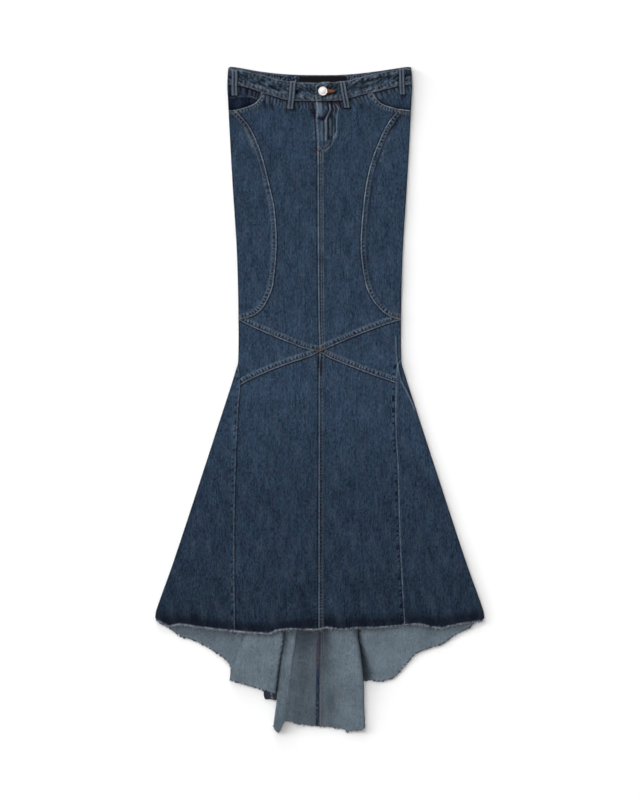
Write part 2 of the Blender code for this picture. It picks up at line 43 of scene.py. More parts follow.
# The plan of the laid skirt, in millimetres: x to the wearer's left, y towards the waist
cloth = {"thick": 1.0, "band": 1.6, "gap": 0.3, "spacing": 1.8}
layer = cloth["thick"] + cloth["gap"]
knee, bandSide, sideEnd, beyondSide = 74.0, 630, -436, 185  # y of three marks on the side edge, and an x beyond it
kneeHalf, flyFoot = 163.6, 495  # half of the width at the knee, and the y where the fly ends
cornerX, cornerY = 326.0, -441.0
sideEdge = [(664, 183.3), (630, 185.0), (600, 183.6), (540, 180.5), (480, 177.3), (420, 173.7), (360, 169.7),
            (300, 166.1), (240, 164.0), (180, 162.8), (120, 162.4), (90, 162.8), (74, 163.6), (60, 167.7),
            (30, 176.9), (0, 186.7), (-150, 235.5), (-330, 294.8), (-420, 326.9), (-436, 329.45)]
backWaist = [(-183.3, 664), (-178, 666.15), (-160, 664), (-120, 657), (-80, 652.3), (-40, 650), (0, 649.6),
             (40, 650), (80, 653), (120, 658), (160, 664), (178, 666.15), (183.3, 664)]
frontWaist = [(-183.2, 663), (-172, 663.6), (-158, 661), (-140, 657), (-120, 652.5), (-100, 647), (-80, 641.6),
              (-60, 637.6), (-40, 635.4), (-20, 635), (8, 635.6)]
tabEdge = [(-7.5, 597.3), (-9.5, 602), (-9.7, 618), (-9.5, 626), (-5.5, 632), (1, 635), (8, 636)]
frontWaistLeft = [(8, 636), (25, 636.4), (40, 637), (50, 638.4), (60, 640.5), (80, 646.3), (100, 651.6),
                  (116, 655.2), (140, 660), (160, 663), (172, 664), (183.2, 663)]
bandSeam = [(-185, 630), (-160, 627.4), (-150, 625.4), (-140, 622.6), (-117.9, 614.8), (-100, 609.4),
            (-80, 602.8), (-66, 598.8), (-50, 597.6), (-30, 597), (-8.5, 597), (20, 597), (40, 598),
            (60, 602.4), (80, 608.4), (106, 614.6), (120, 617.4), (140, 622.4), (156, 626.4), (172, 629),
            (185, 630)]
backBandSeam = [(-185, 630), (-120, 621), (-60, 616), (0, 614.5), (60, 616), (120, 621), (185, 630)]
pocketRight = [(-117.9, 614.8), (-118.4, 607), (-124, 599), (-132, 592), (-152, 584.2), (-170, 580), (-182.6, 579)]
pocketLeft = [(106, 614.6), (110, 607), (116, 600), (122, 594.4), (130, 589.8), (145, 585), (158, 582), (182.6, 579)]
sideCurveRight = [(-170, 580), (-156, 566), (-142, 549), (-128, 522), (-114, 484), (-98, 420), (-90, 380),
                  (-86, 310), (-93, 231), (-100, 209), (-111, 188), (-126, 172), (-143, 164.6), (-162.7, 160)]
sideCurveLeft = [(158, 582), (142, 562), (130, 543), (120, 521), (106, 486), (94, 440), (86, 380), (81.6, 310),
                 (86, 259), (94, 223), (106, 199), (121, 181), (138, 167.6), (162.7, 160)]
centreUpper = [(-8.5, 597), (-9, 560), (-6.6, 530), (-5.2, 480), (-4.9, 400), (-4.3, 250), (-3, 150), (-1, 96)]
centreLower = [(-1, 96), (-2.6, 60), (-3, -60), (-3.4, -260), (-3.5, -459.5)]
kneeUpperRight = [(-162.7, 160), (-150, 153), (-130, 143.6), (-90, 126.4), (-50, 110), (-30, 102.6), (-1, 96)]
kneeUpperLeft = [(162.7, 160), (136, 152), (100, 139), (60, 123), (20, 105.6), (-1, 96)]
kneeLowerRight = [(-1, 96), (-20, 86.6), (-60, 73.4), (-100, 58), (-140, 40), (-158.5, 30)]
kneeLowerLeft = [(-1, 96), (20, 84), (60, 67.6), (100, 52), (130, 41.6), (151.2, 34)]
goreRight = [(-163.6, knee), (-160.5, 58), (-158.5, 30), (-162, -10), (-167, -116), (-170, -240), (-170, -360),
             (-168.4, -463)]
goreLeft = [(163.1, 84), (155.5, 72), (152, 52), (151.2, 34), (151, -60), (155, -132), (159, -272),
            (164.4, -380), (168.4, -450)]
frontHem = [(-cornerX, cornerY), (-310, -449), (-300, -452.6), (-280, -449.4), (-240, -455), (-168.4, -463),
            (-130, -466), (-98, -466.4), (-86, -461), (-60, -458), (-3.5, -459.5), (12, -455.4), (36, -457.4),
            (80, -455), (130, -454), (168.4, -450), (200, -449), (240, -456), (264, -451), (296, -445.4),
            (cornerX, cornerY)]
centreBack = [(0, 62), (0, -300), (0.5, -464), (-1.5, -651.5)]
goreHemRight = [(-cornerX, cornerY), (-308, -452), (-290, -464.4), (-280, -472.6), (-262, -476.6), (-246, -483),
                (-214, -501), (-186, -521), (-178.6, -533), (-160, -548), (-130, -562), (-112, -568)]
goreUnderRight = [(-112, -568), (-122, -520), (-135, -464), (-145, -420), (-151, -380), (-160, -350),
                  (-168.6, -330), (-170, -310)]
goreHemLeft = [(cornerX, cornerY), (310, -446), (298, -456), (282, -464), (264, -473.6), (250, -485),
               (230, -492.4), (212, -499), (192, -507), (174, -527), (160, -543), (148, -555), (130, -560.4),
               (116, -563), (104, -560), (84, -562), (56, -561)]
goreUnderLeft = [(56, -561), (55, -510), (60, -475), (88, -442), (101, -410), (119, -380), (141, -355),
                 (159, -330), (160, -310)]
raisedEdge = [(-170, -310), (-166, -330), (-140, -355), (-110, -380), (-88, -410), (-75, -440), (-71, -464),
              (-72.4, -490), (-77, -520), (-82, -560), (-86.4, -600), (-91, -636), (-92.4, -650), (-92.4, -668)]
openEdge = [(160, -310), (157, -330), (135, -355), (112, -380), (95, -410), (82, -440), (76, -464), (81, -500),
            (85, -532), (88, -570), (88.6, -610), (91, -654), (91, -668)]
raisedTop = [(-46, -464), (-49, -490), (-54, -520), (-58, -560), (-62.6, -594), (-72, -640)]
raisedHem = [(0, -650), (0.012, -656), (0.05, -662.6), (0.11, -665.85), (0.17, -657), (0.22, -643),
             (0.27, -640.4), (0.36, -642.6), (0.46, -645.4), (0.58, -648.4), (0.72, -650.4), (0.86, -651),
             (1, -651.5)]
openHem = [(0, -652), (0.012, -654.4), (0.05, -657), (0.12, -660), (0.2, -660.2), (0.33, -661), (0.395, -663.6),
           (0.46, -659.2), (0.55, -656), (0.66, -654.6), (0.74, -653.6), (0.87, -652.2), (1, -651.5)]
foldSide = [(-118, -385), (-132, -402), (-143, -432), (-151, -462), (-166, -503), (-178, -534), (-179, -548),
            (-180.4, -560)]
foldHem = [(-180.4, -560), (-154, -567), (-124, -576), (-90, -587), (-52, -592)]
foldInner = [(-52, -592), (-48, -560), (-44, -520), (-36, -468), (-34, -385)]
turnedCorner = [(-112, -570), (-110, -597), (-98, -598.4), (-87, -600.5), (-70, -602), (-60, -592), (-60, -570)]
softFolds = [(-120, 330, -60, 430, 46, 0.7), (118, 250, 84, 400, 50, 0.8), (-60, 60, -150, -360, 60, 0.9),
             (50, 40, 96, -330, 64, 0.9), (-190, -120, -262, -410, 50, 0.7), (196, -150, 268, -420, 56, 0.8),
             (-96, 180, -40, 240, 36, 0.5), (60, 150, 20, 250, 40, 0.5)]
beltLoops = [("belt_loop_right_side", -170.5, 659, -170.5, 608, 13.5),
             ("belt_loop_right_front", -53.3, 637, -59, 581, 13.5),
             ("belt_loop_left_front", 44.5, 637, 54.5, 583.5, 13),
             ("belt_loop_left_side", 163, 662.4, 165, 610.4, 12)]


def ramp(value, start, end):
    share = np.clip((np.asarray(value, float) - start) / (end - start), 0, 1)
    return share * share * (3 - 2 * share)


def fall(value, start, end):
    return 1 - ramp(value, start, end)


def bump(value, middle, width):
    return np.exp(-(((value - middle) / width) ** 2))


def uneven(x, y, size, seed, tall=1.0):  # a smooth irregular field between about -1 and 1
    draw = np.random.default_rng(seed)
    total = 0
    for _ in range(10):
        turn, reach, start = draw.uniform(0, 2 * math.pi), draw.uniform(0.7, 1.5) / size, draw.uniform(0, 6.3)
        total = total + np.sin(2 * math.pi * reach * (math.cos(turn) * x + math.sin(turn) * y / tall) + start)
    return total / 3.2


def curveThrough(points, spacing=cloth["spacing"]):
    line = np.array(points, float)
    ends = np.vstack([2 * line[0] - line[1], line, 2 * line[-1] - line[-2]])
    found = []
    for before, start, end, after in zip(ends, ends[1:], ends[2:], ends[3:]):
        gap = np.linalg.norm(end - start)
        leave = (end - before) * gap / np.linalg.norm(end - before)
        reach = (after - start) * gap / np.linalg.norm(after - start)
        t = np.linspace(0, 1, max(1, round(gap / spacing)), endpoint=False)[:, None]
        found.append((2 * t**3 - 3 * t**2 + 1) * start + (t**3 - 2 * t**2 + t) * leave
                     + (3 * t**2 - 2 * t**3) * end + (t**3 - t**2) * reach)
    return np.vstack(found + [line[-1:]])


def across(line, along, axis=1):
    order = np.argsort(line[:, axis])
    return np.interp(along, line[order, axis], line[order, 1 - axis])


def lengthsAlong(line):
    return np.concatenate([[0], np.cumsum(np.linalg.norm(np.diff(line, axis=0), axis=1))])


def spotsAt(line, lengths, at):
    return np.stack([np.interp(at, lengths, line[:, n]) for n in (0, 1)], axis=1)


def stretch(line, start, end, axis):  # the part of a curve between two values of one coordinate
    low, high = min(start, end), max(start, end)
    kept = line[(line[:, axis] > low + 0.3) & (line[:, axis] < high - 0.3)]
    kept = kept[np.argsort(kept[:, axis])]
    if start > end:
        kept = kept[::-1]
    tips = np.zeros((2, 2))
    for tip, value in zip(tips, (start, end)):
        tip[axis] = value
        tip[1 - axis] = across(line, value, axis)
    return np.vstack([tips[:1], kept, tips[1:]])


sideLine = curveThrough([(half, y) for y, half in sideEdge])


def side(sign, start, end):
    return stretch(sideLine, start, end, 1) * (sign, 1)


# How the front rises over the train's folds and the turned waist: range of y, then rise and both ranges of x
frontRise = {"folds": (300, 420), "over": [(2.7, (-198, -156), (4, 46)), (2.4, (-128, -95), (4, 46)),
                                           (2.8, (6, 34), (-150, -94))],
             "waist": (556, 604), "ends": 0.65, "middle": (1.15, (-120, -52), (-130, -64))}


def frontFloor(x, y):  # height of the laid front's underside
    def between(rise, left, right):
        return rise * ramp(x, *left) * ramp(-x, *right)

    height = layer + ramp(-y, *frontRise["folds"]) * sum(between(*over) for over in frontRise["over"])
    height = height + ramp(y, *frontRise["waist"]) * (frontRise["ends"] + between(*frontRise["middle"]))
    for x0, y0, x1, y1, width, rise in softFolds:
        height = height + rise * crease(x, y, x0, y0, x1, y1, width)
    return height


def crease(x, y, x0, y0, x1, y1, width):
    dx, dy = x1 - x0, y1 - y0
    near = np.clip(((x - x0) * dx + (y - y0) * dy) / (dx * dx + dy * dy), 0, 1)
    return np.exp(-((np.hypot(x - x0 - near * dx, y - y0 - near * dy) / (0.5 * width)) ** 2))


def chunks(points):
    return np.array_split(points, max(1, len(points) // 3000))


def unit(ways):
    return ways / np.maximum(np.linalg.norm(ways, axis=1, keepdims=True), 1e-6)


def nearest(points, line):  # distance to a plan curve, and how far along it
    starts, runs = line[:-1], np.diff(line, axis=0)
    lengths = np.hypot(runs[:, 0], runs[:, 1])
    before = np.concatenate([[0], np.cumsum(lengths)[:-1]])
    apart, along = [], []
    for part in chunks(points):
        off = part[:, None, :] - starts[None]
        share = np.clip((off * runs[None]).sum(2) / (lengths**2)[None], 0, 1)
        gaps = np.linalg.norm(off - share[..., None] * runs[None], axis=2)
        best = gaps.argmin(1)
        row = np.arange(len(part))
        apart.append(gaps[row, best])
        along.append(before[best] + share[row, best] * lengths[best])
    return np.concatenate(apart), np.concatenate(along)


# What each kind of seam does to the cloth beside it, with d in millimetres from the seam.
# lift: height of the ridge, out to band; edge: rounding; grow: reach under the neighbouring piece
# lines: d, width, depth of the groove, change of tone, wear, tint (copper above 0, plum below); a darker tone in a
# groove, beside the edge of an upper piece (the under styles, under the waistband and in the pocket mouth) and along
# the rolled side edge is painted shade, and so is the plum tint that comes with it
# ladder: pitch, height, from d, to d, tone (painted shade in the puckers' hollows, painted highlight on their ridges),
# least strength
# rows: distance and colour of the stitches
plainSeam = {"lift": 0, "band": 1, "edge": 0, "grow": 0, "lines": [], "ladder": None, "rows": []}
seamStyles = {
    "plain": {},
    "felled": {"lift": 1.35, "band": 11.5, "edge": 0.45,
               "lines": [(0.9, 1.0, 0, 0.1, 0.72, 0), (3.6, 1.2, 0.3, -0.4, 0, -0.2), (9.3, 1.1, -0.1, 0.05, 0.16, 0),
                         (12.2, 1.5, 0.15, -0.2, 0, 0)],
               "ladder": (7.3, 0.8, 2.4, 9.0, 0.75, 0.36), "rows": [(2.3, "tonal"), (9.2, "dim")]},
    "crossed": {"lift": 1.4, "band": 12.0, "edge": 0.45,
                "lines": [(0.9, 0.9, 0, 0.1, 0.62, 0), (3.3, 1.0, 0.25, -0.4, 0, -0.25),
                          (10.2, 1.1, -0.1, 0.08, 0.34, 0), (13.2, 1.5, 0.2, -0.2, 0, 0)],
                "ladder": (6.7, 1.0, 3.4, 9.8, 0.82, 0.85), "rows": [(2.3, "tonal"), (9.8, "dim")]},
    "under": {"grow": 2.2, "lines": [(0.9, 1.2, 0.2, -0.62, 0, -0.15), (4.8, 3.0, 0.1, -0.04, 0, 0)],
              "ladder": (7.3, 0.25, 1.5, 8.0, 0.14, 0.2)},
    "centre": {"lift": 1.3, "band": 13.0, "edge": 0.4,
               "lines": [(2.2, 1.0, -0.15, 0.12, 0.5, 0), (5.1, 1.2, 0.3, -0.7, 0, -0.08),
                         (7.2, 0.9, -0.1, 0.1, 0.12, 0), (9.1, 1.1, 0.25, -0.6, 0, 0),
                         (11.3, 1.1, -0.1, 0.1, 0.32, 0)],
               "ladder": (6.6, 0.3, 4.0, 10.8, 0.28, 0.5), "rows": [(2.6, "tonal"), (7.6, "tonal")]},
    "centreLow": {"lift": 1.2, "band": 11.5, "edge": 0.4,
                  "lines": [(2.0, 1.1, -0.15, 0.1, 0.32, 0), (5.0, 1.1, 0.3, -0.5, 0, -0.25),
                            (10.2, 1.3, -0.1, 0.1, 0.16, 0)],
                  "ladder": (6.6, 0.3, 4.2, 9.6, 0.5, 0.5), "rows": [(2.6, "tonal"), (9.4, "dim")]},
    "fly": {"lift": 1.3, "band": 30.0, "edge": 0.4, "lines": [(3.0, 1.4, -0.1, 0.25, 0.5, 0)]},
    "gore": {"lift": 0.9, "band": 9.0, "edge": 0.3,
             "lines": [(1.5, 1.0, -0.15, 0.1, 0.3, 0), (4.2, 1.2, 0, 0.03, 0.05, 0)],
             "ladder": (16.5, 0.8, 2.2, 8.0, 0.85, 0.8)},
    "goreUnder": {"grow": 2.0, "lines": [(0.9, 1.2, 0.1, -0.45, 0, -0.1)]},
    "goreLeft": {"lift": 0.9, "band": 9.0, "edge": 0.3, "lines": [(1.5, 0.9, -0.15, 0.1, 0.4, 0)]},
    "goreLeftUnder": {"grow": 2.0, "lines": [(0.9, 1.2, 0.1, -0.3, 0, -0.1)],
                      "ladder": (16.5, 0.3, 0.6, 6.6, 0.85, 0.8)},
    "mouth": {"lift": 1.2, "band": 9.5, "edge": 0.6,
              "lines": [(1.0, 1.0, 0, 0.12, 0.6, 0.08), (4.0, 1.2, 0.25, -0.45, 0, -0.4),
                        (9.0, 1.2, -0.1, 0, 0.2, 0)],
              "ladder": (6.2, 0.7, 2.2, 8.5, 0.75, 0.6), "rows": [(2.2, "tonal"), (8.0, "dim")]},
    "mouthUnder": {"lift": -0.5, "band": 3, "grow": 2.2, "lines": [(0.6, 3.6, 0, -0.7, 0, -0.1)]},
    "bandFoot": {"lift": 0.5, "band": 7, "edge": 0.4,
                 "lines": [(0.9, 0.9, 0, -0.1, 0.16, 0.2), (3.3, 0.9, 0.3, -0.25, 0.06, -0.2), (7, 3, 0, 0, 0.02, 0)],
                 "ladder": (8.3, 0.7, 2.5, 12.5, 0.5, 0.5), "rows": [(2.2, "tonal")]},
    "bandTop": {"lift": 0.1, "band": 6, "edge": 0.6,
                "lines": [(0.4, 0.8, 0, -0.4, 0, -0.2), (2.5, 0.9, 0, 0.1, 0.45, 0.06),
                          (4.8, 0.9, 0.25, -0.4, 0, -0.2), (15, 6.5, 0, -0.36, -0.06, -0.04)],
                "ladder": (8.9, 0.5, 3.2, 11.0, 0.4, 0.5), "rows": [(2.6, "tonal")]},
    "underBand": {"grow": 2.2, "lines": [(1.0, 1.3, 0.1, -0.8, 0, -0.3), (5, 4, 0.1, -0.02, 0, -0.04)],
                  "ladder": (8.3, 0.8, 1.5, 17.0, 0.3, 0.4)},
    "side": {"lift": -1.35, "band": 0.5, "lines": [(0.6, 1.6, 0, -0.35, 0, -0.1)]},
    "hem": {"edge": -0.3, "lines": [(0.6, 1.9, -0.2, 0.1, 0.8, -0.1), (4.6, 1.3, 0.1, -0.34, 0, -0.2),
                                    (11, 8.5, 0, -0.38, 0, -0.16)]},
    "raw": {"edge": 0.2, "lines": [(0.2, 1.1, 0, -0.4, 0, -0.5), (2.6, 1.2, -0.1, 0.05, 0.12, 0)]}}
seamStyles = {kind: plainSeam | style for kind, style in seamStyles.items()}
seamReach, endReach = 26, 95  # how far a seam changes the cloth, and how far its ends pucker more
narrowPitch = 15  # below this pitch the rungs of a ladder are soft and worn
# Rust and plum casts on the seams: x, y, reach along x and y, cast, change of tone
casts = [(2, 102, 12, 10, 0.32, -0.3), (-3, 97, 4, 4, 0.45, 0), (-46, 118, 18, 9, -0.4, -0.2),
         (34, 115, 26, 10, -0.26, -0.05), (28, 88, 24, 9, 0.26, -0.1), (-46, 77, 18, 8, 0.2, 0),
         (2.5, 62, 5, 12, -0.9, -0.75), (60, 70, 24, 9, 0.16, 0), (-92, 127, 26, 9, 0.16, 0),
         (94, 140, 30, 10, 0.2, -0.05), (-100, 58, 26, 9, 0.16, 0),
         (153, 168, 13, 10, 0.42, -0.1), (-152, 166, 14, 9, 0.3, -0.1), (88.5, 271, 5, 15, -0.5, -0.3),
         (-153, 556, 13, 17, 0.32, -0.3), (152, 560, 12, 15, 0.2, -0.15), (-120, 597, 9, 9, -0.35, 0),
         (-172, 573, 10, 7, 0.3, 0), (-119, 474, 6, 9, -0.3, -0.1), (124, 592, 14, 8, 0.2, 0),
         (160, 580, 12, 6, 0.24, 0),
         (-92, 330, 40, 150, 0, 0.3), (88, 330, 30, 130, 0, -0.22), (3, -190, 20, 260, 0, -0.32)]


def beside(style, d, run, total, seed, x, y):  # relief, tone, wear and tint that a seam gives to the points near it
    relief = style["lift"] * fall(d, style["band"] - 2, style["band"] + 1.5) - style["edge"] * fall(d, 0, 1.5)
    tone, worn, tint = np.ones(len(d)), np.zeros(len(d)), np.zeros(len(d))
    patchy = np.clip(0.8 + 0.3 * uneven(run, 0, 34, seed + 3) + 0.34 * uneven(run, 0, 8, seed + 4), 0.25, 1.3)
    for at, width, depth, shade, wear, cast in style["lines"]:
        near = bump(d, at, width)
        relief, tone = relief - depth * near, tone * (1 + shade * near)
        worn, tint = worn + wear * near * patchy, tint + cast * near
    if not style["ladder"]:
        return relief, tone, worn, tint
    pitch, height, low, high, shade, least = style["ladder"]
    narrow = pitch < narrowPitch
    ends = np.exp(-((run / endReach) ** 2)) + np.exp(-(((total - run) / endReach) ** 2))
    strength = np.clip(least + (1 - least) * ends + 0.25 * uneven(run, 0, 40, seed), 0.05, 1.2)
    turn = run / pitch + 0.4 * uneven(run, 0, 60, seed + 1) + 0.12 * uneven(run, 0, 15, seed + 2)
    # rung is 1 on a pucker's ridge and 0 in its hollow: hollows get painted shade and a plum tint, ridges a painted
    # highlight, and narrow ladders wear on their ridges
    rung = ramp(np.cos(2 * math.pi * (turn + 0.02 * d)), *((-0.75, 0.45) if narrow else (-0.9, -0.2)))
    band = ramp(d, low, low + 1.2) * fall(d, high - 1.5, high)
    relief = relief + height * strength * (rung - 0.5) * band
    tone = tone * np.clip(1 + shade * strength * (0.3 * rung - 1 + rung) * band, 0.15, 1.5)
    worn = worn + 0.3 * shade * strength * rung * band * narrow
    tint = tint - 0.25 * shade * strength * (1 - rung) * band
    if style["lift"] > 0.6:
        onSeam = np.clip(0.7 + 0.5 * uneven(x, y, 5, 24), 0, 1.2) * fall(d, style["band"] - 3, style["band"])
        for atX, atY, wide, tall, cast, shade in casts:
            near = onSeam * bump(np.hypot((x - atX) / wide, (y - atY) / tall), 0, 1)
            tint, tone, worn = tint + cast * near, tone * (1 + shade * near), worn * (1 + shade * near)
    return relief, tone, worn, tint


def panelSurface(runs, floor, thick, detail):  # the top of one laid panel: height and finish at any of its points
    def surface(points):
        x, y = points[:, 0], points[:, 1]
        height = floor(x, y) + thick
        tone, worn, tint = np.ones(len(x)), np.zeros(len(x)), np.zeros(len(x))
        for line, kind in runs:
            d, run = nearest(points, line)
            total = np.linalg.norm(np.diff(line, axis=0), axis=1).sum()
            seed = int(abs(line[0] @ (7, 3) + line[-1] @ (2, 5))) % 997
            near = d < seamReach
            if near.any():
                more, shade, wear, cast = beside(seamStyles[kind], d[near], run[near], total, seed, x[near], y[near])
                height[near] += more
                tone[near] *= shade
                worn[near] += wear
                tint[near] += cast
        more, shade, wear, cast = detail(x, y)
        return height + more, tone * shade, worn + wear, tint + cast

    return surface


def chained(runs):  # the runs anticlockwise: their points, how far each is moved out, the area and the runs
    points = np.vstack([line[:-1] for line, _ in runs])
    area = 0.5 * np.sum(points[:, 0] * np.roll(points[:, 1], -1) - np.roll(points[:, 0], -1) * points[:, 1])
    if area < 0:
        runs = [(line[::-1], kind) for line, kind in runs[::-1]]
    points, grown = [], []
    for line, kind in runs:
        length = lengthsAlong(line)
        taper = ramp(length, 1, 9) * ramp(length[-1] - length, 1, 9)
        jag = 0.0
        if kind in ("hem", "raw"):
            draw = np.random.default_rng(int(abs(line[0, 0])))
            rough = (0.8, 1.5)[kind == "raw"]
            jag = draw.normal(0, 0.55, len(line)) + rough * uneven(length, 0, 11, 5)
            jag = jag + 0.6 * rough * uneven(length, 0, 5, 6)
        grown.append((seamStyles[kind]["grow"] * taper - cloth["gap"] / 2 + jag)[:-1])
        points.append(line[:-1])
    return np.vstack(points), np.concatenate(grown), abs(area), runs


def moved(points, reach):  # each point moved outwards by its own reach
    ahead = unit(np.roll(points, -1, axis=0) - points)
    behind = np.roll(ahead, 1, axis=0)
    out = np.stack([ahead[:, 1] + behind[:, 1], -ahead[:, 0] - behind[:, 0]], axis=1)
    square = np.maximum(1 + (ahead * behind).sum(1, keepdims=True), 0.3)
    return points + out * np.asarray(reach)[:, None] / square


def inside(points, outline):  # which points lie within a closed plan outline
    starts, ends = outline, np.roll(outline, -1, axis=0)
    found = []
    for part in chunks(points):
        x, y = part[:, :1], part[:, 1:]
        spans = (starts[None, :, 1] > y) != (ends[None, :, 1] > y)
        rise = np.where(ends[:, 1] == starts[:, 1], 1e-9, ends[:, 1] - starts[:, 1])[None]
        meets = starts[None, :, 0] + (y - starts[None, :, 1]) * (ends[:, 0] - starts[:, 0])[None] / rise
        found.append((spans & (meets > x)).sum(1) % 2 == 1)
    return np.concatenate(found)


def filled(outline, rings, cell, dense=()):  # triangles that fill an outline, fine along its edges
    closed = np.vstack([outline, outline[:1]])
    points = [outline]
    for reach, every in rings:
        inner = moved(outline, np.full(len(outline), -reach))[::every]
        inner = inner[nearest(inner, closed)[0] > 0.93 * reach]
        points.append(inner[inside(inner, outline)])
    low, high = outline.min(0), outline.max(0)
    grid = []
    for n, y in enumerate(np.arange(low[1], high[1], cell * 0.87)):
        columns = np.arange(low[0] + (n % 2) * cell / 2, high[0], cell)
        grid.append(np.column_stack([columns, np.full(len(columns), y)]))
    grid = np.vstack(grid)
    grid = grid[inside(grid, outline)]
    points.append(grid[nearest(grid, closed)[0] > rings[-1][0] + 0.45 * cell])
    for x0, y0, x1, y1, step in dense:
        spots = np.stack(np.meshgrid(np.arange(x0, x1, step), np.arange(y0, y1, 1.4 * step)), axis=2).reshape(-1, 2)
        spots = spots[inside(spots, outline)]
        points.append(spots[nearest(spots, closed)[0] > 0.8])
    points = np.vstack(points)
    count = len(outline)
    edges = [(n, (n + 1) % count) for n in range(count)]
    made = geometry.delaunay_2d_cdt([Vector(p) for p in points], edges, [], 0, 1e-5, False)
    corners = np.array([p[:] for p in made[0]])
    faces = np.array([f for f in made[2] if len(f) == 3])
    faces = faces[inside(corners[faces].mean(1), outline)]
    used = np.unique(faces)
    place = np.full(len(corners), -1)
    place[used] = np.arange(len(used))
    return corners[used], place[faces].tolist()


def newMesh(name, points, faces, finish=()):
    mesh = bpy.data.meshes.new(name)
    mesh.from_pydata((np.asarray(points) * mm).tolist(), [], faces)
    for key, values in zip(("tone", "worn", "tint"), finish):
        mesh.attributes.new(key, "FLOAT", "POINT").data.foreach_set("value", np.asarray(values, np.float32))
    mesh.update()
    piece = bpy.data.objects.new(name, mesh)
    bpy.context.scene.collection.objects.link(piece)
    return piece


def alone(piece):  # the one selected and active object
    bpy.ops.object.select_all(action="DESELECT")
    piece.select_set(True)
    bpy.context.view_layer.objects.active = piece


def wall(piece, thick, looks, crisp=50, rim=0):
    for look in looks:
        piece.data.materials.append(look)
    solid = piece.modifiers.new("wall", "SOLIDIFY")
    solid.thickness = thick * mm
    solid.offset = -1
    solid.material_offset, solid.material_offset_rim = 1, rim
    alone(piece)
    bpy.ops.object.modifier_apply(modifier=solid.name)
    bpy.ops.object.shade_smooth_by_angle(angle=math.radians(crisp))


def laidShell(name, runs, rings, cell, floor, detail, thick, looks, rim=0, dense=(), shade=1):
    points, grown, area, runs = chained(runs)
    outline = moved(points, grown)
    surface = panelSurface(runs, floor, thick, detail)
    plan, faces = filled(outline, rings, cell, dense)
    height, tone, worn, tint = surface(plan)
    finish = np.clip(shade * tone, 0.05, 2), np.clip(worn, 0, 1), np.clip(tint, -1, 1)
    piece = newMesh(name, np.column_stack([plan, height]), faces, finish)
    wall(piece, thick, looks, rim=rim)
    return piece, area, surface, outline, runs


def gridShell(name, grid, quad, finish, thick, looks, rim=0):
    rows, columns = grid.shape[:2]
    index = np.arange(rows * columns).reshape(rows, columns)
    faces = np.stack([index[i:rows - 1 + i, j:columns - 1 + j].ravel() for i, j in quad], axis=1)
    finish = [np.broadcast_to(values, (rows, columns)).ravel() for values in finish]
    piece = newMesh(name, grid.reshape(-1, 3), faces.tolist(), finish)
    wall(piece, thick, looks, 60, rim)
    return piece


def fit(piece, nodes):
    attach(piece, "root")
    if nodes:
        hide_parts(*nodes)


def fitCloth(piece, node, area, rests):  # area: the cut that shows, in square millimetres
    fit(piece, [node])
    corners = np.array([v.co for v in piece.data.vertices])
    width, length = (corners.max(0) - corners.min(0))[:2]
    share = min(max(area * mm * mm, 0.31 * width * length), width * length)


# Materials
class Socket:
    def __init__(self, look, output):
        self.look, self.output = look, output

    def maths(self, operation, first, second):
        return self.look.node("ShaderNodeMath", {"operation": operation}, {0: first, 1: second})

    def __add__(self, other): return self.maths("ADD", self, other)
    def __radd__(self, other): return self.maths("ADD", other, self)
    def __sub__(self, other): return self.maths("SUBTRACT", self, other)
    def __rsub__(self, other): return self.maths("SUBTRACT", other, self)
    def __mul__(self, other): return self.maths("MULTIPLY", self, other)


class Look:
    def __init__(self, name, fixed):
        self.material = bpy.data.materials.new(name)
        self.material.use_nodes = True
        self.tree = self.material.node_tree
        self.shader = self.tree.nodes["Principled BSDF"]
        for key, value in fixed.items():
            self.shader.inputs[key].default_value = value

    def node(self, kind, settings, inputs, output=0):
        made = self.tree.nodes.new(kind)
        for key, value in settings.items():
            setattr(made, key, value)
        for key, value in inputs.items():
            if isinstance(value, Socket):
                self.tree.links.new(value.output, made.inputs[key])
            else:
                made.inputs[key].default_value = value
        return Socket(self, made.outputs[output])

    def link(self, value, name):
        self.tree.links.new(value.output, self.shader.inputs[name])

    def attribute(self, name):
        return self.node("ShaderNodeAttribute", {"attribute_name": name}, {}, "Fac")

    def place(self, scale):
        where = self.node("ShaderNodeTexCoord", {}, {}, "Object")
        return self.node("ShaderNodeMapping", {}, {"Vector": where, "Scale": scale})

    def cloud(self, scale, detail=2.0, rough=0.55):  # noise, scaled along each axis in features per metre
        return self.node("ShaderNodeTexNoise", {}, {"Vector": self.place(scale), "Scale": 1.0, "Detail": detail,
                                                    "Roughness": rough}, "Fac")

    def blend(self, factor, first, second, way="MIX"):
        return self.node("ShaderNodeMix", {"data_type": "RGBA", "blend_type": way}, {0: factor, 6: first, 7: second}, 2)

    def bumps(self, height, depth):
        self.link(self.node("ShaderNodeBump", {}, {"Height": height, "Distance": depth, "Strength": 1.0}), "Normal")

    def twoTone(self, pattern, settings):
        self.link(self.blend(pattern, settings["dark"], settings["light"]), "Base Color")
        if settings.get("relief"):
            self.bumps(pattern, settings["relief"] * mm)
        return self.material


def rgb(red, green, blue):  # display values 0 to 255 as a linear colour
    steps = [v / 255 for v in (red, green, blue)]
    return tuple(v / 12.92 if v <= 0.04045 else ((v + 0.055) / 1.055) ** 2.4 for v in steps) + (1.0,)


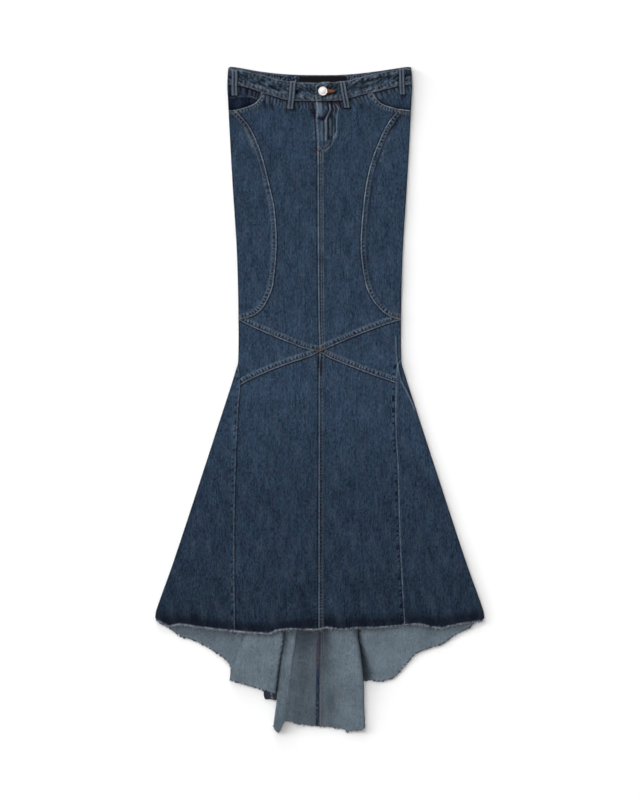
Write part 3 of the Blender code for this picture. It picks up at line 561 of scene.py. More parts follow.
def denimLook(name, settings):
    look = Look(name, {"Roughness": settings["rough"], "Specular IOR Level": settings["specular"]})
    streaks = look.cloud((400, 110, 60), 3.0, 0.62)
    slubs = look.cloud((260, 22, 30), 1.5)
    flecks = look.cloud((330, 230, 60), 2.5, 0.7)
    patches = look.cloud((60, 40, 20), 1.5)
    clouds = look.cloud((34, 20, 20), 2.0)
    cast = look.cloud((70, 45, 20), 1.0)
    mix = 0.5 + (streaks - 0.5) * settings["streak"] + (slubs - 0.5) * settings["slub"]
    mix = mix + (clouds - 0.5) * settings["cloud"] + (flecks - 0.5) * (patches - 0.2) * settings["fleck"]
    base = look.blend(mix, settings["dark"], settings["light"])
    base = look.blend((cast - 0.42) * settings["cast"], base, settings["other"])
    base = look.blend((0.58 - cast) * settings["cast"], base, settings["teal"])
    tone = look.attribute("tone")
    tone = look.node("ShaderNodeCombineColor", {}, {0: tone, 1: tone, 2: tone})
    base = look.blend(1.0, base, tone, "MULTIPLY")
    tint = look.attribute("tint")
    base = look.blend(0 - tint, base, settings["plum"])
    base = look.blend(look.attribute("worn") * (0.6 + flecks * 0.8), base, settings["worn"])
    base = look.blend(tint, base, settings["tint"])
    look.link(base, "Base Color")
    twill = look.node("ShaderNodeTexWave", {"wave_type": "BANDS", "bands_direction": "DIAGONAL"},
                      {"Vector": look.place((1000, 620, 300)), "Scale": 0.5, "Distortion": 1.2, "Detail": 1.0}, "Fac")
    look.bumps(twill * 0.25 + streaks * 0.8 + slubs * 0.6 + flecks * 0.35, settings["relief"] * mm)
    return look.material


faceSettings = {"rough": 0.9, "specular": 0.03, "streak": 2.1, "slub": 0.8, "cloud": 0.5, "fleck": 5.2,
                "cast": 1.1, "relief": 0.4,
                "dark": rgb(21, 32, 46), "light": rgb(57, 75, 97), "other": rgb(40, 45, 65), "teal": rgb(34, 54, 66),
                "worn": rgb(121, 134, 146), "tint": rgb(108, 74, 60), "plum": rgb(24, 20, 38)}
insideSettings = {"rough": 0.9, "specular": 0.06, "streak": 0.9, "slub": 0.4, "cloud": 0.7, "fleck": 4.4,
                  "cast": 0.6, "relief": 0.3,
                  "dark": rgb(70, 84, 94), "light": rgb(114, 125, 134), "other": rgb(84, 93, 108),
                  "teal": rgb(82, 98, 106),
                  "worn": rgb(140, 148, 154), "tint": rgb(110, 88, 76), "plum": rgb(38, 42, 60)}
# a darker, bluer copy of the face denim, for the facing in the right pocket and the back waistband
darkFaceSettings = faceSettings | {"dark": rgb(12, 20, 38), "light": rgb(44, 60, 90), "teal": rgb(24, 40, 58)}
denimFace = denimLook("denimFace", faceSettings)
denimDarkFace = denimLook("denimDarkFace", darkFaceSettings)
denimInside = denimLook("denimInside", insideSettings)


def threadLook(name, dark, light):
    look = Look(name, {"Roughness": 0.6, "Specular IOR Level": 0.3})
    return look.twoTone(look.cloud((900, 900, 900), 1.0), {"dark": rgb(*dark), "light": rgb(*light), "relief": 0.1})


threadLooks = {"tonal": threadLook("threadTonal", (76, 92, 103), (114, 129, 138)),
               "dim": threadLook("threadDim", (44, 58, 72), (76, 90, 102)),
               "copper": threadLook("threadCopper", (112, 62, 34), (176, 106, 56)),
               "rust": threadLook("threadRust", (88, 62, 56), (130, 90, 74)),
               "plum": threadLook("threadPlum", (92, 78, 86), (120, 106, 112)),
               "fray": threadLook("threadFray", (108, 106, 118), (166, 163, 172)),
               "darkFray": threadLook("threadFrayDark", (44, 36, 48), (84, 74, 84))}
print("materials made")


# Stitches: one small spindle, copied along every row
def stitchTemplate():
    bpy.ops.object.select_all(action="DESELECT")
    bpy.ops.mesh.primitive_cylinder_add(vertices=4, radius=0.5, depth=1, end_fill_type="NGON",
                                        rotation=(0, math.pi / 2, 0))
    spindle = bpy.context.object
    bpy.ops.object.transform_apply(location=False, rotation=True, scale=False)
    bpy.ops.object.mode_set(mode="EDIT")
    bpy.ops.mesh.select_all(action="SELECT")
    shape = bmesh.from_edit_mesh(spindle.data)
    bmesh.ops.bisect_plane(shape, geom=shape.verts[:] + shape.edges[:] + shape.faces[:], plane_co=(0, 0, 0),
                           plane_no=(1, 0, 0))
    for vertex in shape.verts:
        if abs(vertex.co.x) > 0.4:
            vertex.co.y *= 0.45
            vertex.co.z = vertex.co.z * 0.45 - 0.3
    bmesh.update_edit_mesh(spindle.data)
    bpy.ops.object.mode_set(mode="OBJECT")
    corners = np.array([v.co for v in spindle.data.vertices])
    faces = [list(p.vertices) for p in spindle.data.polygons]
    bpy.data.objects.remove(spindle)
    return corners, faces


stitchCorners, stitchFaces = stitchTemplate()
stitches = {"tonal": [], "copper": [], "rust": [], "dim": [], "plum": []}


def sew(kind, points, heights, turns, length=2.9, width=0.62):  # collects stitches, drawn in one piece later
    for (x, y), z, turn in zip(points, heights, turns):
        stitches[kind].append((x, y, z, turn, length, width))


def sewRow(kind, line, surface, outline, reach, pitch=3.5):  # at this distance inside an anticlockwise seam line
    length = lengthsAlong(line)
    at = np.arange(1.5, length[-1] - 1.2, pitch)
    if length[-1] < 6 or len(at) < 2:
        return
    run = unit(spotsAt(line, length, at + 0.8) - spotsAt(line, length, at - 0.8))
    middle = spotsAt(line, length, at) + np.stack([-run[:, 1], run[:, 0]], axis=1) * reach
    keep = nearest(middle, np.vstack([outline, outline[:1]]))[0] > min(0.8 * reach, reach - 0.3)
    middle, run = middle[keep], run[keep]
    if len(middle):
        draw = np.random.default_rng(len(line) + len(middle))
        turns = np.arctan2(run[:, 1], run[:, 0]) + draw.normal(0, 0.05, len(middle))
        sew(kind, middle, surface(middle)[0] + 0.12, turns)


def sewRows(runs, surface, outline):
    for line, kind in runs:
        for reach, colour in seamStyles[kind]["rows"]:
            sewRow(colour, line, surface, outline, reach)


def threadPiece(name, points, faces, look):
    piece = newMesh(name, points, faces)
    piece.data.materials.append(look)
    fit(piece, [])


def drawStitches(kind, entries):
    points, faces = [], []
    for n, (x, y, z, turn, length, width) in enumerate(entries):
        c, s = math.cos(turn), math.sin(turn)
        size = stitchCorners * (length, width, width)
        points.append(np.stack([x + size[:, 0] * c - size[:, 1] * s, y + size[:, 0] * s + size[:, 1] * c,
                                z + size[:, 2]], axis=1))
        faces += [[corner + n * len(stitchCorners) for corner in face] for face in stitchFaces]
    threadPiece("threads_" + kind, np.vstack(points), faces, threadLooks[kind])


# Front panels
def frontRuns():
    seam, hem = curveThrough(bandSeam), curveThrough(frontHem)
    middleUpper, middleLower = curveThrough(centreUpper), curveThrough(centreLower)
    tables = [("right", -1, pocketRight, sideCurveRight, kneeUpperRight, kneeLowerRight, goreRight,
               ("under", "under", "under", "gore", "goreUnder")),
              ("left", 1, pocketLeft, sideCurveLeft, kneeUpperLeft, kneeLowerLeft, goreLeft,
               ("centre", "fly", "centreLow", "goreLeft", "goreLeftUnder"))]
    found = {}
    for name, sign, pocket, sideCurve, kneeUpper, kneeLower, gore, kinds in tables:
        mouth, curved, upper = curveThrough(pocket), curveThrough(sideCurve), curveThrough(kneeUpper)
        lower, goreSeam = curveThrough(kneeLower), curveThrough(gore)
        meet = int(np.linalg.norm(mouth - sideCurve[0], axis=1).argmin())
        inner, outer = mouth[:meet + 1].copy(), mouth[meet:].copy()
        inner[-1] = outer[0] = sideCurve[0]
        centreKind, flyKind, lowKind, goreKind, goreUnder = kinds
        found["pocket_facing_" + name] = [
            (stretch(seam, pocket[0][0], sign * beyondSide, 0), "underBand"),
            (side(sign, bandSide, pocket[-1][1]), "side"), (mouth[::-1], "mouthUnder")]
        found["front_upper_" + name] = [
            (stretch(seam, centreUpper[0][0], pocket[0][0], 0), "underBand"), (inner, "mouth"), (curved, "under"),
            (upper, "crossed"), (middleUpper[middleUpper[:, 1] <= flyFoot + 1][::-1], centreKind),
            (middleUpper[middleUpper[:, 1] > flyFoot - 1][::-1], flyKind)]
        found["side_panel_" + name] = [
            (outer, "mouth"), (side(sign, pocket[-1][1], sideCurve[-1][1]), "side"), (curved[::-1], "felled")]
        found["knee_panel_" + name] = [
            (upper, "under"), (lower, "crossed"), (stretch(goreSeam, kneeLower[-1][1], gore[0][1], 1), goreUnder),
            (side(sign, gore[0][1], sideCurve[-1][1]), "side")]
        found["flare_front_" + name] = [
            (lower, "under"), (stretch(goreSeam, kneeLower[-1][1], gore[-1][1], 1), goreUnder),
            (stretch(hem, gore[-1][0], centreLower[-1][0], 0), "hem"), (middleLower[::-1], lowKind)]
        found["gore_front_" + name] = [
            (goreSeam, goreKind), (stretch(hem, gore[-1][0], sign * cornerX, 0), "hem"),
            (side(sign, sideEnd, gore[0][1]), "side")]
    return found


# Creases of the laid front: ends, width, height. Narrow creases also get painted shade in their grooves and a painted
# highlight on their ridges.
creases = [(0, 588, 2, 520, 9, 0.9), (7, 572, 7, 528, 4, -0.5), (13.7, 566, 13.7, 518, 4, 0.8),
           (16.8, 562, 16.6, 520, 4, -0.6), (26, 566, 26, 534, 9, -0.6), (34.6, 580, 34, 526, 6, 0.8),
           (12, 590, 40, 592, 8, -0.9), (21, 582, 23, 568, 8, -0.9), (-12, 594, -11, 576, 7, -1.0),
           (-24, 594, -38, 582, 6, 0.5), (-30, 592, -44, 584, 6, -0.5),
           (-108, 606, -104, 590, 6, 0.8), (-112, 600, -108, 584, 5, -0.7), (-100, 604, -94, 584, 6, -0.8),
           (-92, 600, -84, 580, 7, 0.6), (64, 598, 70, 578, 7, 0.7), (-70, 592, -66, 574, 6, -0.6),
           (78, 602, 84, 584, 6, -0.7), (96, 608, 98, 590, 7, 0.7), (3, 82, 2.5, 50, 5, -1.2),
           (-2, 88, -3, 40, 6, -0.5),
           (-20, 80, -60, -40, 26, 0.5), (24, 78, 70, -30, 28, 0.5), (-140, 150, -156, 60, 20, 0.6),
           (140, 140, 155, 52, 16, 0.9), (-300, -380, -240, -250, 40, 0.8), (300, -380, 236, -240, 44, 0.8),
           (-110, -300, -130, -440, 34, 0.9), (-30, -280, -40, -440, 36, 0.8), (60, -290, 62, -440, 38, 0.9),
           (120, -300, 132, -430, 30, 0.7), (-150, 480, -120, 420, 30, 0.4), (150, 470, 122, 400, 30, 0.4)]
# Single marks on the front: points, width, change of tone, wear, tint. The dark marks in the fly's puckers, under the
# tab and the band, and in the waist's crease grooves are painted shade.
marks = [([(154.5, 128), (155.5, 90), (160, 60), (165, 40), (176, 20), (187, -4), (191, -15)], 1.3, -0.6, 0, -0.2),
         ([(151.8, 126), (152.8, 90), (157.2, 58), (162.2, 38), (173.2, 17.5), (184.6, -7), (189.4, -20)],
          1.2, 0.1, 0.4, 0),
         ([(-1.5, 564), (6, 562), (12, 568), (22, 578), (32, 588), (42, 593)], 4.6, -0.84, 0, -0.6),
         ([(28, 592.5), (44, 594)], 4.0, -0.6, 0, -0.5), ([(14, 591), (26, 585)], 3.4, -0.4, 0, -0.4),
         ([(19, 586), (22.5, 566)], 3.2, -0.66, 0, -0.5),
         ([(27, 592), (33, 577)], 4.6, -0.6, 0, -0.5), ([(-2, 594), (22, 594), (46, 594)], 2.2, -0.5, 0, -0.5),
         ([(-17, 595), (-14, 584), (-10.5, 570)], 5.2, -0.86, 0, -0.75),
         ([(-1, 591), (1, 580), (3, 571)], 4.6, 0.2, 0.34, 0),
         ([(4.5, 556), (4.5, 520)], 2.3, 0.14, 0.32, 0), ([(11.8, 557), (12.8, 540), (12.2, 520)], 2.2, 0.14, 0.4, 0),
         ([(20.6, 560), (21.4, 530)], 2.0, 0.1, 0.24, 0.06), ([(28, 546), (27, 523)], 1.5, 0.05, 0.24, 0),
         ([(8.3, 560), (8.4, 530), (8.7, 508)], 1.2, -0.72, 0, -0.2), ([(17.2, 566), (17.5, 522)], 1.3, -0.72, 0, -0.1),
         ([(24.6, 562), (25, 540)], 1.5, -0.6, 0, 0), ([(30.6, 562), (30.9, 537)], 1.7, -0.8, 0, -0.1),
         ([(19.6, 591), (20.8, 580), (16, 569), (11.3, 558)], 1.0, 0.9, 0.7, -0.1),
         ([(31.5, 592), (37.5, 583), (35, 571), (33.8, 557), (33.8, 535), (28, 525)], 1.0, 0.6, 0.46, -0.1),
         ([(27, 589), (30, 580), (27, 570)], 0.8, 0.5, 0.3, -0.1),
         ([(-5.5, 594), (-3.5, 582), (-5, 566)], 1.0, 0.2, 0.6, 0),
         ([(-13, 562), (-12.4, 540), (-11, 522)], 1.6, 0.1, 0.14, 0),
         ([(26, 538), (24, 526), (19.6, 514.4), (11.3, 505), (2, 500.6)], 1.4, -0.76, 0, -0.1),
         ([(33.7, 529), (27.8, 519.3), (24.3, 511), (16, 502), (8, 497)], 1.3, 0.1, 0.3, 0),
         ([(22, 520), (16, 510.6), (9, 505)], 1.0, 0.1, 0.3, 0), ([(13, 493), (12.6, 480)], 1.8, -0.66, 0, -0.3),
         ([(5, 494), (5, 484)], 2.0, -0.5, 0, -0.2), ([(18.6, 488), (18.4, 482)], 1.2, -0.4, 0, 0),
         ([(-159.5, 566), (-147.5, 552), (-140.5, 534)], 4.2, -0.4, 0, -0.35),
         ([(-149, 543), (-142, 527), (-135, 509)], 2.6, 0.12, 0.2, 0.04),
         ([(-135, 509), (-129.5, 492)], 1.8, 0.06, 0.1, 0),
         ([(157, 566), (147, 550), (139, 532)], 4.2, -0.4, 0, -0.3), ([(152, 574), (166, 571)], 2.6, -0.4, 0, 0.15),
         ([(144, 538), (136, 520), (128, 500), (121, 478)], 2.2, 0.15, 0.22, 0),
         ([(-178, 604), (-160, 607), (-143, 608), (-128, 603), (-121, 600)], 1.3, 0.5, 0.1, 0),
         ([(-178, 600.5), (-160, 603.5), (-143, 604.5), (-128, 599.5)], 1.6, -0.5, 0, -0.2),
         ([(-92, 240), (-91, 268)], 1.6, -0.45, 0, -0.2), ([(-100, 596), (-94, 580)], 2.0, -0.35, 0, -0.2),
         ([(-60, 594), (-64, 582)], 2.0, -0.35, 0, -0.2), ([(-66, 590), (-54, 592)], 2.0, -0.3, 0, -0.1)]
panelTone = {"pocket_facing_right": 0.42, "pocket_facing_left": 0.92}
frontWaves = [(0.28, 120, 11, 1.6), (0.16, 46, 12, 1.8), (0.06, 15, 13, 2.2)]  # height, size, seed, length


def frontDetail(x, y):
    relief = sum(height * uneven(x, y, *field) for height, *field in frontWaves)
    tone = (1 - 0.245 * ramp(-y, -10, 240) - 0.13 * ramp(-y, 280, 400)) * (1 + 0.1 * bump(y, 60, 110))
    worn = 0.03 * np.clip(uneven(x, y, 30, 23, 2.5), 0, 1)
    tint = np.zeros(len(x))
    for x0, y0, x1, y1, width, rise in creases:
        shape = rise * crease(x, y, x0, y0, x1, y1, width)
        relief = relief + shape
        # narrow creases: painted shade in the grooves, painted highlight on the ridges
        if width < 10:
            tone = tone * np.clip(1 + np.where(shape < 0, 0.8, 0.35) * shape, 0.2, 1.5)
    plan = np.column_stack([x, y])
    for line, width, shade, wear, cast in marks:
        near = bump(nearest(plan, np.array(line, float))[0], 0, width)
        tone, worn, tint = tone * (1 + shade * near), worn + wear * near, tint + cast * near
    hemGap = y - across(hemLine, x, 0)
    tone = tone * (1 - 0.36 * fall(hemGap, 8, 40)) * (1 + 0.04 * uneven(x, y, 70, 21, 1.5))
    tone = tone * (1 + 0.07 * uneven(x, y, 20, 22, 3.0))
    worn = worn - 0.26 * fall(hemGap, 1, 5) * ramp(x, -20, 40)
    return relief, tone * loopShade(x, y), worn, tint


def loopShade(x, y):  # painted shadow on the cloth close beside each belt loop
    tone = np.ones(len(x))
    for _, topX, topY, endX, endY, width in beltLoops:
        share = np.clip((y - topY) / (endY - topY), 0, 1)
        middle = topX + (endX - topX) * share
        apart = np.hypot(np.maximum(np.abs(x - middle) - width / 2, 0), np.maximum(np.maximum(endY - y, y - topY), 0))
        tone = tone * (1 - 0.82 * fall(apart, 0.6, 3.4 + 1.2 * (x > middle)))
    return tone


hemLine = curveThrough(frontHem)
cells = {"front": 4.2, "band": 2.6, "backUpper": 14, "backGore": 7, "folded": 5, "corner": 3, "allowance": 2.6,
         "backBand": 2.4, "label": 4}
# distance of each ring of points from the edge, and how many of the edge's points it takes one for
fineRings = [(0.7, 1), (1.5, 1), (2.5, 1), (3.7, 1), (5.2, 1), (7.0, 1), (9.0, 1), (11.2, 2), (13.6, 2)]
creasedParts = {"front_upper_left": [(4, 497, 43, 596, 1.0), (60, 576, 104, 604, 1.8)],
                "front_upper_right": [(-44, 560, -12, 594, 1.6), (-114, 576, -66, 606, 1.8)],
                "knee_panel_left": [(148, 40, 166, 128, 1.4)], "gore_front_left": [(152, -24, 192, 72, 1.4)]}
liesOn = {"pocket_facing": ["back_upper"], "front_upper": ["back_upper"], "side_panel": ["back_upper"],
          "knee_panel": ["back_upper", "back_flare"], "flare_front": ["back_flare"], "gore_front": ["back_gore"]}
for node, runs in frontRuns().items():
    looks = (denimDarkFace if node == "pocket_facing_right" else denimFace), denimInside
    piece, area, surface, outline, runs = laidShell(
        node + "_cloth", runs, fineRings, cells["front"], frontFloor, frontDetail, cloth["thick"], looks,
        dense=creasedParts.get(node, ()), shade=panelTone.get(node, 1))
    form, half = node.rsplit("_", 1)
    fitCloth(piece, node, area, ["%s_%s_cloth" % (below, half) for below in liesOn[form]])
    sewRows(runs, surface, outline)
print("front panels laid")
# Back panels: they lie face down, so their pale inside is on top
trainTop, trainEnd, stripEnd = -464, -668, -640  # where the strip comes out, and the ends of its edges' tables
raisedLine, openLine, backLine = curveThrough(raisedEdge), curveThrough(openEdge), curveThrough(centreBack)
stripLine = curveThrough(raisedTop)


def beyondLine(line, x, y, end=trainEnd):  # how far x is past a line of the train
    return x - across(line, np.clip(y, end, trainTop))


def paintedTrainShade(x, y):  # painted shade in the train's hollows and painted shadow on the cloth under an upper layer: the gap beside the strip, the wedge that the open fold casts and the band under the front's hem
    stripGap, openGap = -beyondLine(raisedLine, x, y), beyondLine(openLine, x, y)
    hemGap = across(hemLine, x, 0) - y
    low = -y
    near = fall(stripGap, 1.2 + 0.8 * ramp(low, 470, 540), 4.8 + 2.6 * ramp(low, 480, 560))
    tone = 1 - 0.95 * near * ramp(x, -125, -100) * ramp(-x, 56, 66)
    reach = 9 + 18 * ramp(low, 470, 560)
    near = fall(openGap, 0.25 * reach, reach)
    tone = tone * (1 - (0.92 - 0.12 * ramp(low, 500, 560)) * near * ramp(openGap, -30, -10))
    reach = 13 + 20 * ramp(-x, 160, 190) + 9 * ramp(x, 150, 200)
    return tone * (1 - 0.27 * fall(hemGap, 1, reach)) * (1 - 0.25 * fall(hemGap, 2, 6))


def backDetail(x, y):
    relief = 0.2 + 0.16 * uneven(x, y, 80, 31) + 0.07 * uneven(x, y, 26, 32)
    tone = (1 + 0.05 * uneven(x, y, 60, 33) + 0.035 * uneven(x, y, 18, 34)) * paintedTrainShade(x, y)
    tone = tone * (1 - 0.08 * ramp(-x, 150, 180)) * (1 - 0.06 * ramp(x, 180, 240))
    # the plum tint deepens the painted shade where it is darkest
    return relief, tone, 0 * x, -0.2 * np.clip(1 - tone, 0, 1)


def plainDetail(x, y):
    return 0 * x, 1 + 0 * x, 0 * x, 0 * x


def level(height):
    return lambda x, y: np.full(len(x), float(height))


def backShell(name, runs, rings, cell, height=0, detail=backDetail, thick=cloth["thick"],
              looks=(denimInside, denimFace)):
    return laidShell(name, runs, rings, cell, level(height), detail, thick, looks, rim=1)[:2]


coarseRings = [(2.0, 2), (6.0, 3)]
backRings = [(0.8, 1), (2.0, 1), (4.0, 2), (8.0, 3)]
setBack = {"upper": 2.4, "gore": 1.6, "band": 1.4}  # from the front's side edge to that of the part below it
backSeam = curveThrough(backBandSeam)
for name, sign in (("right", -1), ("left", 1)):
    foot, top = centreBack[0], backBandSeam[3]
    runs = [(stretch(backSeam, 0, sign * beyondSide, 0), "plain"),
            (side(sign, bandSide, knee) - (sign * setBack["upper"], 0), "plain"),
            (np.array([[sign * (kneeHalf - setBack["upper"]), knee], foot]), "plain"),
            (np.linspace(foot, top, 80), "plain")]
    piece, area = backShell("back_upper_%s_cloth" % name, runs, coarseRings, cells["backUpper"], detail=plainDetail)
    fitCloth(piece, "back_upper_" + name, area, ["floor"])

goreTables = [("right", -1, goreHemRight, goreUnderRight), ("left", 1, goreHemLeft, goreUnderLeft)]
for name, sign, hem, under in goreTables:
    inward = sign * setBack["gore"], 0
    runs = [(np.linspace(under[-1], (sign * kneeHalf, knee), 120), "plain"),
            (side(sign, knee, sideEnd) - inward, "plain"),
            (np.vstack([side(sign, sideEnd, sideEnd)[:1] - inward, curveThrough(hem)]), "raw"),
            (curveThrough(under), "plain")]
    piece, area = backShell("back_gore_%s_cloth" % name, runs, backRings, cells["backGore"])
    fitCloth(piece, "back_gore_" + name, area, ["floor"])
print("back panels laid")
# The train
train = {"stripLift": 3 * layer, "openLift": layer, "stripCrown": 5.2, "edgeCrown": 2.0, "slope": 34.0,
         "foldRound": 3.4, "underRun": [20, 15, 10, 6.5], "foldTop": -425, "hem": -650, "seamHalf": 0.15,
         "rise": (340, 450), "quad": [(0, 0), (0, 1), (1, 1), (1, 0)]}


def raisedLevels(x, y, _):  # bottom and top of the train's right half
    up = ramp(-y, *train["rise"])
    strip = beyondLine(stripLine, x, y, stripEnd)
    bottom = train["stripLift"] * up * fall(strip, 0, train["slope"]) * (1 - 0.85 * ramp(-y, 602, 666))
    crown = ramp(-y, 470, 530) * (1 - 0.75 * ramp(-y, 622, 664))
    spread = 8 + (train["slope"] - 8) * ramp(-y, 464, 520)
    layers = (1 + train["stripCrown"] * crown) * fall(strip, -6, spread)
    return bottom, bottom + 1 + up * layers


def openLevels(_, y, inset):  # bottom and top of its left half
    up = ramp(-y, *train["rise"])
    bottom = train["openLift"] * up * fall(inset, 40, 58) * fall(-y, 566, 622)
    crown = ramp(-y, 470, 540) * (1 - 0.4 * ramp(-y, 622, 654))
    layers = (layer + train["edgeCrown"] * crown) * fall(inset, 6, 46)
    return bottom, bottom + 1 + up * layers


def middlePaintedShade(x, y):  # its painted shading: a painted lit ridge on the strip, painted shade beside the back seam, light before the open fold, painted shade right at that fold's edge, and painted shadow under the front's hem
    strip, rim = beyondLine(stripLine, x, y, stripEnd), beyondLine(raisedLine, x, y)
    edge, seamGap = -beyondLine(openLine, x, y), x - across(backLine, y)
    hemGap = across(hemLine, x, 0) - y
    high = ramp(y, -600, -575)
    lit = 1 - 0.6 * high * fall(rim, 1.2, 3.6)
    lit = lit * (1 - (0.16 * high + 0.3 * ramp(y, -520, -475)) * fall(rim, 3, 13)) + 0.05 * bump(strip, -5, 3)
    lit = 0.89 * lit * (1 - 0.3 * fall(hemGap, 6, 28))
    dim = 0.65 - 0.2 * bump(strip, 0, 1.8) * ramp(y, -570, -530)
    dim = dim * (1 + (0.24 + 0.25 * ramp(-y, 590, 640)) * bump(strip, 11, 13) * ramp(-y, 500, 540))
    dim = dim * (1 - 0.42 * fall(hemGap, 2, 56))
    tone = lit + (dim - lit) * ramp(strip, -3.4, 0.2)
    amount = 0.17 + 0.13 * ramp(y, -600, -510) + 0.1 * ramp(y, -510, -465)
    wide = (1 - amount * fall(x, 4, 46 - 8 * ramp(y, -520, -470))) * 0.92 * (1 - 0.14 * fall(hemGap, 2, 20))
    wide = wide * (1 - 0.46 * bump(x, 8, 12) * ramp(y, -515, -470)) * (1 - 0.22 * bump(x, 8, 9) * bump(y, -520, 24))
    wide = wide * (1 - 0.24 * bump(x, 38, 13) * bump(y, -583, 26)) * (1 - 0.24 * bump(x, 22, 9) * ramp(-y, 560, 610))
    tone = np.where(x > 0, wide, tone)
    tone = tone * (1 - 0.3 * bump(seamGap, 1.2, 1.0) + 0.16 * bump(seamGap, 3.6, 1.1) - 0.3 * bump(seamGap, 6.0, 1.0))
    tone = tone * (1 - 0.38 * fall(edge, 0, 12) * ramp(y, -600, -500)) * (1 - 0.16 * fall(edge, 0, 5))
    tone = tone * (1 - 0.3 * bump(edge, 6, 5) * fall(hemGap, 6, 26))
    return tone * (1 - 0.25 * fall(hemGap, 2, 6))


def trainHalf(name, edge, hem, sign, levels):
    edgeLine, foldTop, seamHalf = curveThrough(edge), train["foldTop"], train["seamHalf"]
    shares, hemYs = np.array(hem).T
    quad, looks = train["quad"][::sign], (denimInside, denimFace)

    def spread(y, inward, start):  # x and the levels of points this share of the way in from the edge
        end = across(backLine, y) + sign * seamHalf
        x = start + (end - start) * inward
        return x, *levels(x, y, np.abs(x - start))

    # the hidden part under the front, one flat layer
    share, inward = np.meshgrid(np.linspace(0, 1, 34), np.linspace(0, 1, 14), indexing="ij")
    head, (edgeX, edgeY), half = knee - 12 * inward, edge[0], sign * kneeHalf
    y = head + (foldTop - head) * share
    start = np.where(y < edgeY, across(edgeLine, y), half + (edgeX - half) * (knee - y) / (knee - edgeY))
    x, bottom, _ = spread(y, inward, start)
    grid = np.stack([x, y, bottom + cloth["thick"]], axis=2)
    hidden = gridShell(name + "_hidden", grid, quad, (1, 0, 0), cloth["thick"], looks, 1)
    # the part that shows, rolled over its fold
    angles = np.radians(np.linspace(-90, 90, 13))
    section = [(inset, -1.0) for inset in train["underRun"]]
    section += [(train["foldRound"] * (1 - math.cos(a)), math.sin(a)) for a in angles]
    section += [(inset, 1.0) for inset in np.concatenate([[4.6, 6.2, 8.2], np.linspace(10.5, 66, 26)])]
    insets, sides = np.array(section).T
    share = np.concatenate([np.linspace(0, 0.9, 90), np.linspace(0.905, 1, 22)])[:, None]
    tail = np.linspace(0, 1, 9)[1:]
    width = np.abs(across(edgeLine, foldTop + (train["hem"] - foldTop) * share) - across(backLine, foldTop)) - seamHalf
    insets = np.hstack([np.repeat(insets[None], len(share), 0), insets[-1] + (width - insets[-1]) * tail])
    sides = np.append(sides, np.ones(len(tail)))
    inward = insets / width
    y = foldTop + (np.interp(inward, shares, hemYs) - foldTop) * share
    y = np.where(sides < 0, y - 1.2 * share * sides, y)
    x, bottom, top = spread(y, inward, across(edgeLine, y))
    relief = 0.22 * uneven(x, y, 50, 41 + sign, 2.2) + 0.09 * uneven(x, y, 17, 43, 2.0)
    z = (bottom + top) / 2 + sides * (top - bottom) / 2 + np.maximum(relief + 0.1, 0) * ramp(sides, 0, 1)
    jag = np.random.default_rng(7 + sign).normal(0, 0.7, len(sides)) + 0.9 * uneven(x[-1], 0, 8, 3)
    y[-1] += jag
    y[-2] += jag * 0.5
    hemGap = y - y[-1:]
    tone = 1 + 0.05 * uneven(x, y, 55, 44) + 0.035 * uneven(x, y, 16, 45)
    tone = tone * middlePaintedShade(x, y) * (1 - 0.1 * bump(hemGap, 3.5, 2.0))
    # plum where the painted shade is deep, and the raw hem's dark fringe at its edge
    tint = -0.6 * bump(hemGap, 0.2, 1.1) - 0.4 * np.clip(0.8 - tone, 0, 1)
    grid = np.stack([x, y, z], axis=2)
    finish = tone, 0.12 * bump(hemGap, 2.4, 1.2), tint
    return [hidden, gridShell(name + "_train", grid, quad, finish, cloth["thick"], looks, 1)], grid[-1]


def joined(node, pieces):
    alone(pieces[0])
    for piece in pieces:
        piece.select_set(True)
    bpy.ops.object.join()
    whole = pieces[0]
    whole.name = whole.data.name = node + "_cloth"
    area = sum(p.area for p in whole.data.polygons) / 2 / mm / mm  # half of a closed shell's surface
    fitCloth(whole, node, area, ["floor"])


def foldedDetail(x, y):  # the layer under the strip, its left edge a soft fold, with painted shade along that fold
    d, _ = nearest(np.column_stack([x, y]), foldLine)
    relief, tone, worn, tint = backDetail(x, y)
    relief = relief * 0.7 - 2.3 * fall(d, 0, 13)
    tone = tone * (1 - 0.16 * fall(d, 5, 14)) * (1 - 0.3 * bump(d, 1.5, 3) * ramp(y, -510, -468))
    return relief, tone, worn, tint


def cornerDetail(x, y):
    return (0.3 * bump(x, -96.2, 1.2), 0.62 - 0.1 * bump(x, -96.2, 2.6),
            0.9 * bump(x + 0.22 * (y + 590), -96.4, 0.9), 0.1 + 0 * x)


def allowanceDetail(x, y):
    off, low = x - across(backLine, y), -y
    tone = 0.68 + 0.35 * bump(off, -4, 1.8) * fall(low, 520, 600) + 0.3 * uneven(x, y, 5, 62, 2)
    worn = 0.2 * bump(off, -7.6, 0.8) + 0.3 * ramp(low, 540, 600) * np.clip(uneven(x, y, 4, 64), 0, 1) ** 2
    return 0.45 * bump(off, -4, 2.4), tone, worn, 0.18 - 0.66 * ramp(low, 520, 600) + 0.16 * uneven(x, y, 4, 63)


